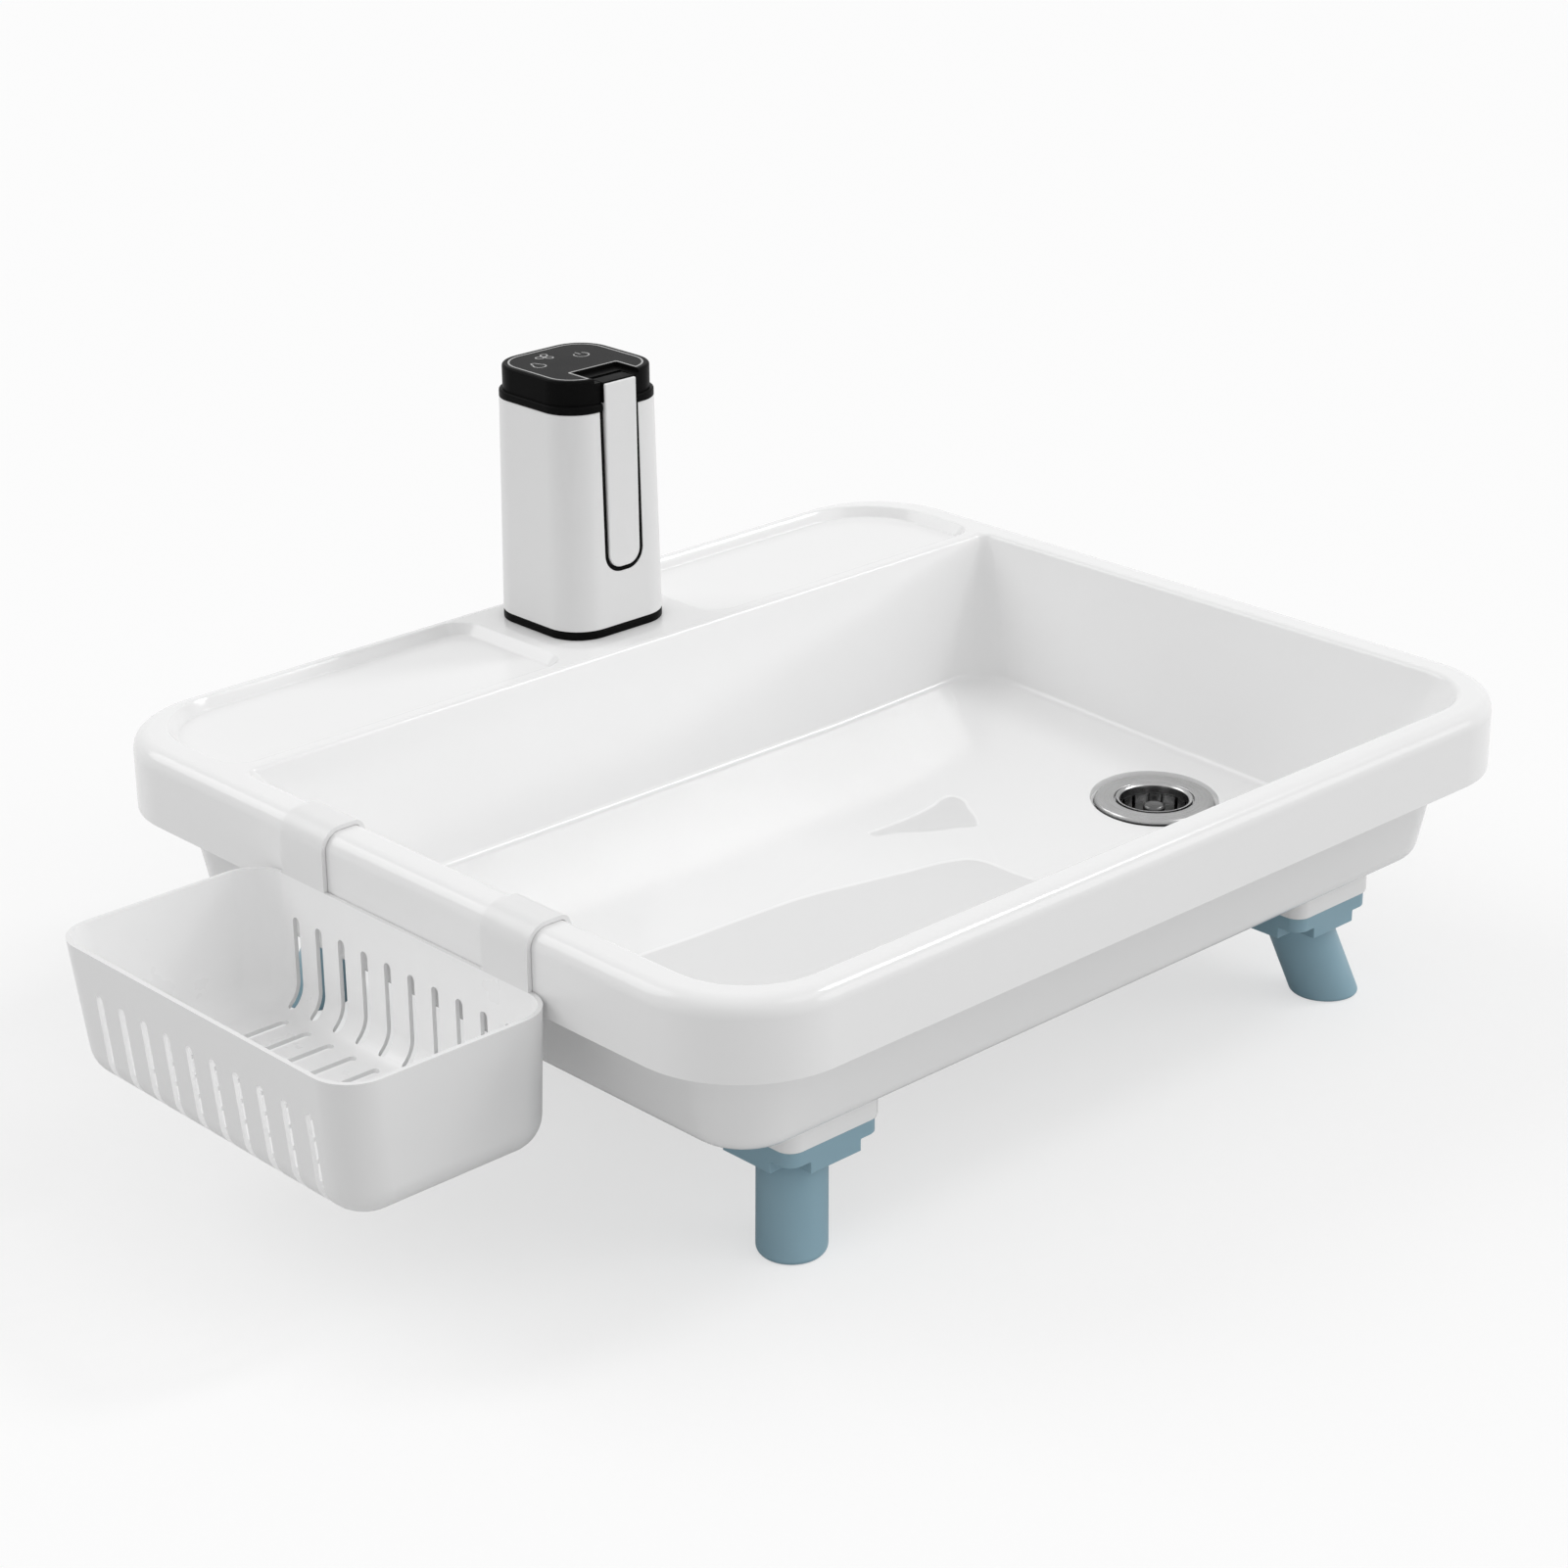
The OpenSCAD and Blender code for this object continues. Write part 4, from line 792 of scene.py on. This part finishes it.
def makeTail():
    low, high = nodeBox("waste_tail")
    outer, tube, inner = (high.x - low.x) / 2, drain.tail, drain.tailInner
    body = lathe([(inner, low.z), (tube - 1, low.z), (tube, low.z + 1), (tube, low.z + 19)]
                 + arcPoints(tube + 3.2, low.z + 19, 3.2, 180, 110, 4)[1:]
                 + [(outer - 0.8, high.z - 12), (outer, high.z - 11.2), (outer, high.z - 0.8), (outer - 0.8, high.z),
                    (drain.tube + 0.1, high.z), (drain.tube + 0.1, high.z - 9), (inner, high.z - 9)])
    ribs = around(drain.ribs, lambda: prism((outer - 1.5, outer - 0.05), (-0.8, 0.8),
                                               (high.z - 10.6, high.z - 1.2), (0, 0.5, 0.5, 0)))
    return moved(together([body] + ribs), *drainMiddle.xy)


finishPiece("drainFlange", makeFlange(), drainSteel, "root", "drain_flange", sharp=50)
finishPiece("strainerCup", makeCup(), drainSteel, "strainer", "strainer_cup", sharp=40, edge=0.15)
finishPiece("strainerKnob", makeKnob(), knobSteel, "strainer", "strainer_knob", sharp=50)
finishPiece("drainNut", makeNut(), fittingPlastic, "root", "drain_nut", edge=0.4)
finishPiece("wasteTail", makeTail(), fittingPlastic, "root", "waste_tail")
print("drain made")

# Screws under the pan and under the pump, with cross recesses
screw = Numbers(shank=1.5, long=14.0, head=3.0, headHigh=1.8, recess=0.55, recessHalf=1.9, recessDeep=1.2,
                fromFront=7.0, fromSide=12.0, apart=0.72)


def makeScrews(places, seat):
    # pan heads that look down, their shanks upwards
    s = screw
    bottom, tip = seat - s.headHigh, seat + s.long
    long, thin = ((-half, half) for half in (s.recessHalf, s.recess))
    drawings = []
    for x, y in places:
        head = lathe([(0, bottom)] + arcPoints(s.head - 0.7, bottom + 0.7, 0.7, -90, 0, 4)
                     + [(s.head, seat), (s.shank, seat), (s.shank, tip - 1.5), (0.2, tip)], steps=32, closed=False)
        head = combine(head, [prism(*sides, (seat - past, bottom + s.recessDeep))
                              for sides in ((long, thin), (thin, long))])
        head.transform(Matrix.Translation((x, y, 0)) @ Matrix.Rotation(x + y, 4, 'Z'))
        drawings.append(head)
    return together(drawings)


bossFront, bossSide = halfWidth - screw.fromFront, halfLength - screw.fromSide
spread = halfLength * screw.apart
panPlaces = [(x, y) for x in (-spread, 0, spread) for y in (-bossFront, bossFront)]
panPlaces += [(x, y * tubFront / 2 - tub.backLean) for x in (-bossSide, bossSide) for y in (-1, 1)]
finishPiece("panScrews", makeScrews(panPlaces, panHigh.z - pan.wall), screwSteel, "root", "pan_screws")

# Pump housing, cap, touch panel, cradle and folding spout
pump = Numbers(width=78.5, corner=22.0, topWidth=74.5, wall=2.0, foot=5.0, footScrew=27.25, footBore=6.1,
               capRing=4.5, capWidth=72.0, capEdge=1.6, cheek=18.3, recessWide=33.0, recessLong=23.0,
               recessDeep=2.5, panelMargin=3.5, panelThick=1.2, portHigh=12.0)
spout = Numbers(width=23.0, length=110.5, corner=9.0, thick=8.0, gap=0.7, cradle=1.8, cradleDeep=13.5,
                hingeIn=6.0, skin=2.0, drop=0.6, pin=3.0, water=4.0, edge=0.9)
icon = Numbers(line=0.85, size=5.5, high=0.12)
housingLow = nodeBox("pump_shell")[0].z
capLow, capTop = (corner.z for corner in nodeBox("pump_cap"))
frontY = py - pump.width / 2
armTop = capTop - pump.recessDeep
armLow = armTop - spout.length
hingeY, hingeZ = frontY + spout.hingeIn, armTop - spout.hingeIn
knuckleLow = hingeZ - spout.hingeIn
cradleBack = frontY + spout.cradleDeep
sweep = spout.hingeIn * math.sqrt(2) + spout.gap


def slab(width, bottom, top, radius, lowRound=0.0, highRound=0.0, taper=0.0, steps=5):
    # a square slab over the pump's middle, with rounded corners and edges, and narrower at its top
    angles = spaced(0, 90, steps)
    profile = [(rest, bottom + come) for come, rest in quarter(lowRound, angles)] if lowRound else [(0, bottom)]
    profile += [(come, top - rest) for come, rest in quarter(highRound, angles)] if highRound else [(0, top)]
    bm = bmesh.new()
    loops = []
    for inset, height in profile:
        inset += taper * (height - bottom) / (top - bottom)
        left, right, front, back = px - width / 2, px + width / 2, py - width / 2, py + width / 2
        loops.append(addLoop(bm, left + inset, right - inset, front + inset, back - inset, height,
                             [max(radius - inset, 0.3)] * 4))
    bridge(bm, loops)
    for end in (loops[0], loops[-1]):
        ops.contextual_create(bm, geom=end)
    return outwards(bm)


def strip(grow, top, start, end):
    # the spout's outline grown by a margin, as a block from one depth to another
    half = spout.width / 2 + grow
    corner = spout.corner + grow
    return prism((px - half, px + half), (armLow - grow, top), (start, end), (corner, corner, 0, 0), 'Y', 14)


def block(width, depth, height, radii=(0, 0, 0, 0)):
    # a block across the pump's middle
    return prism((px - width / 2, px + width / 2), depth, height, radii)


def rod(radius, length, place, axis, segments=32):
    # a plain cylinder round a point, along X, Y or Z
    bm = bmesh.new()
    turn = Matrix.Rotation(math.pi / 2, 4, {'X': 'Y', 'Y': 'X', 'Z': 'Z'}[axis])
    ops.create_cone(bm, cap_ends=True, segments=segments, radius1=radius, radius2=radius, depth=length,
                    matrix=Matrix.Translation(place) @ turn)
    return bm


def makeShell():
    return slab(pump.width, housingLow, capLow, pump.corner, taper=(pump.width - pump.topWidth) / 2)


def makeHousing():
    p, s = pump, spout
    inner = slab(p.topWidth - 2 * p.wall, housingLow - past, capLow + past, p.corner - p.wall)
    opening = strip(s.gap + s.cradle + 0.1, capLow + past, frontY - past, cradleBack)
    port = prism((px - 4.5, px + 4.5), (housingLow + p.portHigh, housingLow + p.portHigh + 3.4),
                 (py, py + p.width), [1.2] * 4, 'Y', 5)
    return combine(makeShell(), [inner, opening, port])


def makeCradle():
    gap, wall = spout.gap, spout.cradle
    trough = combine(makeShell(), [strip(gap + wall, capLow, frontY - past, cradleBack)], 'INTERSECT')
    return combine(trough, [strip(gap, capLow + past, frontY - past - 1, cradleBack - wall)])


def makePanel(low, high, grow=0.0, edge=0.0):
    p = pump
    face = slab(p.capWidth - 2 * p.panelMargin + 2 * grow, low, high, p.corner - 1 - p.panelMargin + grow,
                0, edge, steps=3)
    margin = 0.8 - grow
    recess = block(p.recessWide + 2 * margin, (py - 60, frontY + p.recessLong + margin),
                   (low - past, high + past), (0, 0, 1.5, 1.5))
    return combine(face, [recess])


def makeCap():
    p, s = pump, spout
    ring = slab(p.topWidth + 0.6, capLow, capLow + p.capRing, p.corner - 1, 0, 1.2)
    body = slab(p.capWidth, capLow, capTop, p.corner - 1, 0, p.capEdge)
    hollow = slab(p.capWidth - 5, capLow - past, capTop - 3, p.corner - 2.5)
    kept = block(2 * p.cheek, (py - 50, hingeY + sweep + 7), (capLow - 2 * past, capTop + past))
    notch = s.width + 2 * s.gap
    return combine(combine(ring, [body], 'UNION'), [
        combine(hollow, [kept]),
        block(notch, (py - 60, cradleBack - s.cradle), (capLow - past, capTop + past)),
        block(notch, (py - 60, hingeY + sweep), (hingeZ - sweep, capTop + past)),
        block(p.recessWide, (py - 60, frontY + p.recessLong), (capTop - p.recessDeep, capTop + past), (0, 0, 1.5, 1.5)),
        makePanel(capTop - p.panelThick, capTop + past, 0.1)])


def inkLine(points, closed=False):
    # a printed line through points, as a thin raised band
    bm = bmesh.new()
    addCurve(bm, [(x * icon.size, y * icon.size) for x, y in points], closed=closed, resolution=6, thick=icon.line)
    ops.scale(bm, verts=bm.verts, vec=(1, 1, icon.high))
    return bm


def makePrint():
    # the grey line round the panel and three plain icons: a drop, three leaves and a power sign
    low, high = capTop - 0.4, capTop - 0.04
    drawings = [combine(makePanel(low, high, 0.05), [makePanel(low - 1, high + 1, -1.05)])]
    power = [inkLine([(cosine(angle) * 0.8, sine(angle) * 0.8) for angle in range(130, 411, 28)]),
             inkLine([(0, 0.15), (0, 0.55), (0, 1.05)])]
    drop = [inkLine([(0, 1), (0.45, 0.3), (0.66, -0.3), (0.3, -0.8), (-0.3, -0.8), (-0.66, -0.3), (-0.45, 0.3)], True)]
    leaves = []
    for turn in (90, 210, 330):
        leaf = inkLine([(0, 0.12), (0.42, 0.6), (0.2, 1), (-0.3, 0.7)], True)
        leaf.transform(Matrix.Rotation(math.radians(turn), 4, 'Z'))
        leaves.append(leaf)
    for lines, x, y in ((power, 12.5, 9.5), (drop, -20.0, 9.0), (leaves, -6.0, 20.5)):
        drawings += [moved(line, px + x, py + y, capTop - 0.1) for line in lines]
    return together(drawings)


def makeArm():
    s = spout
    arm = strip(0, armTop - s.drop, frontY, frontY + s.thick)
    room = block(60, (frontY + s.skin, frontY + 30), (knuckleLow, capTop + past))
    outlet = rod(s.water / 2, 10, (px, frontY + s.thick, nodeBox("spout_nozzle")[0].z + 3.5), 'Y')
    return combine(arm, [room, outlet])


def makeKnuckle():
    knuckle = block(spout.width, (frontY + spout.skin, frontY + 2 * spout.hingeIn), (knuckleLow, armTop))
    return combine(knuckle, [rod(spout.pin / 2 + 0.1, 60, (px, hingeY, hingeZ), 'X')])


def makeFoot():
    # the plate under the pump with the plug that fits into the housing
    p = pump
    plate = slab(p.width, rimTop, rimTop + p.foot, p.corner, 0.6, 1.5)
    plug = slab(p.topWidth - 2 * p.wall - 0.6, rimTop + 2, nodeBox("pump_foot")[1].z, p.corner - p.wall, 0, 0.6)
    holes = [rod(p.footBore, 60, (*hoseMiddle, rimTop), 'Z')]
    for place in footPlaces:
        holes += [rod(screw.shank + 0.1, 60, (*place, rimTop), 'Z'),
                  rod(screw.head + 0.1, p.foot, (*place, rimTop), 'Z')]
    return combine(combine(plate, [plug], 'UNION'), [together(holes)])


footPlaces = [(px + x * pump.footScrew, py + y * pump.footScrew) for x, y in signs]
finishPiece("pumpHousing", makeHousing(), housingPlastic, "pump", "pump_shell", edge=0.6)
finishPiece("spoutCradle", makeCradle(), blackPlastic, "pump", "spout_cradle", edge=0.25)
finishPiece("pumpCap", makeCap(), blackPlastic, "pump", "pump_cap", edge=0.3)
finishPiece("touchPanel", makePanel(capTop - pump.panelThick + 0.02, capTop - 0.15, 0, 0.3), panelAcrylic, "pump",
            "touch_panel", sharp=40)
finishPiece("panelPrint", makePrint(), printInk, "pump", sharp=40)
finishPiece("spoutArm", makeArm(), housingPlastic, "spout", "spout_arm", edge=spout.edge, edgeSteps=4)
finishPiece("spoutKnuckle", makeKnuckle(), blackPlastic, "spout", "spout_knuckle",
            edge=0.5, edgeSteps=3)
finishPiece("pumpFoot", makeFoot(), blackPlastic, "pump", "pump_foot")
finishPiece("footScrews", makeScrews(footPlaces, rimTop + pump.foot / 2), screwSteel, "pump",
            "foot_screws")
print("pump made")

# CAD nodes that keep their shape get their finish
nodeFinish = dict(
    drain_gasket=gasketRubber, drain_washer=gasketRubber, spout_nozzle=nozzleSilicone,
    hinge_pin=screwSteel, battery_cell=cellWrap, pump_motor=motorSteel, pump_head=fittingPlastic,
    riser_tube=tubeSilicone, inlet_barb=fittingPlastic, control_board=boardMask, charge_port=screwSteel)
for name, material in nodeFinish.items():
    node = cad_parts[name]
    node.data.materials.clear()
    node.data.materials.append(material)
print("inner nodes finished")

# Floor, light and camera
studio = Numbers(size=14.0, below=0.00015, colour="#FAFAFA", bounce="#D6D6D6", wash=0.6, ambient=0.59, backdrop=1.0)
stageBm = bmesh.new()
ops.create_grid(stageBm, x_segments=1, y_segments=1, size=studio.size / 2,
                matrix=Matrix.Translation((0, 0, -studio.below)))
paper, tree, place = startMaterial("seamlessPaperWhite")
path = addNode(tree, 'LightPath')  # the camera sees the paper washed out to white
shade = addBlend(tree, path["Is Diffuse Ray"], studio.colour, studio.bounce)
matt = addNode(tree, 'BsdfPrincipled', {
    "Base Color": shade, "Roughness": 0.9, "Normal": addBump(tree, addNoise(tree, place, 300.0), 0.02, 0.0002),
    "Specular IOR Level": 0.1})
wash = addNode(tree, 'Emission', {"Color": tint("#FFFFFF"), "Strength": 1.0})
mixed = addNode(tree, 'MixShader', {0: addMath(tree, 'MULTIPLY', path["Is Camera Ray"], studio.wash),
                                              1: matt[0], 2: wash[0]})
under = addNode(tree, 'NewGeometry')["Backfacing"]  # and looks through it from below
clear = addNode(tree, 'BsdfTransparent')
mixed = addNode(tree, 'MixShader', {0: addMath(tree, 'MULTIPLY', under, path["Is Camera Ray"]),
                                              1: mixed[0], 2: clear[0]})
addNode(tree, 'OutputMaterial', {"Surface": mixed[0]})
studioFloor = addObject("studioFloor", asMesh(stageBm, "studioFloor"))
studioFloor.data.materials.append(paper)

for name, turn, strength, spread in (
        ("front", (70, 0, 42), 0.4, 30),  # low, from the front and the right
        ("key", (38, 0, 28), 0.25, 28),  # soft, from the right and the front, above
        ("right", (43, 0, 66), 0.5, 12),  # for the lines on the long edges
        ("left", (51, 0, 209.5), 0.78, 38)):  # and for those on the short edges
    lamp = adjust(bpy.data.lights.new(name, 'SUN'), energy=strength, angle=math.radians(spread))
    addObject(name, lamp).rotation_euler = [math.radians(angle) for angle in turn]

world = bpy.data.worlds.new("studio")
bpy.context.scene.world = world
world.use_nodes = True
tree = world.node_tree
tree.nodes.clear()
path = addNode(tree, 'LightPath')
seen = addMath(tree, 'MAXIMUM', path["Is Camera Ray"], path["Is Glossy Ray"])
seen = addMath(tree, 'MAXIMUM', seen, path["Is Transmission Ray"])
glow = addNode(tree, 'Background', {
    "Color": tint("#FFFFFF"), "Strength": addRange(tree, seen, 0.0, 1.0, studio.ambient, studio.backdrop)})
addNode(tree, 'OutputWorld', {"Surface": glow[0]})

camera = Numbers(azimuth=-43.3174, elevation=22.4399, roll=-0.4445, lens=80.94, place=(-1.18375, -1.2948, 0.8712))
right = Vector((cosine(camera.azimuth), sine(camera.azimuth), 0))
backwards = Vector((right.y * cosine(camera.elevation), -right.x * cosine(camera.elevation), sine(camera.elevation)))
up = backwards.cross(right)
axes = (cosine(camera.roll) * right + sine(camera.roll) * up, cosine(camera.roll) * up - sine(camera.roll) * right,
        backwards)
photoCamera = addObject("photoCamera", adjust(bpy.data.cameras.new("photoCamera"), lens=camera.lens, sensor_width=36.0))
photoCamera.matrix_world = Matrix.Translation(camera.place) @ Matrix(axes).transposed().to_4x4()
bpy.context.scene.camera = photoCamera
bpy.context.scene.view_settings.view_transform = 'Standard'
print("floor, light and camera set")
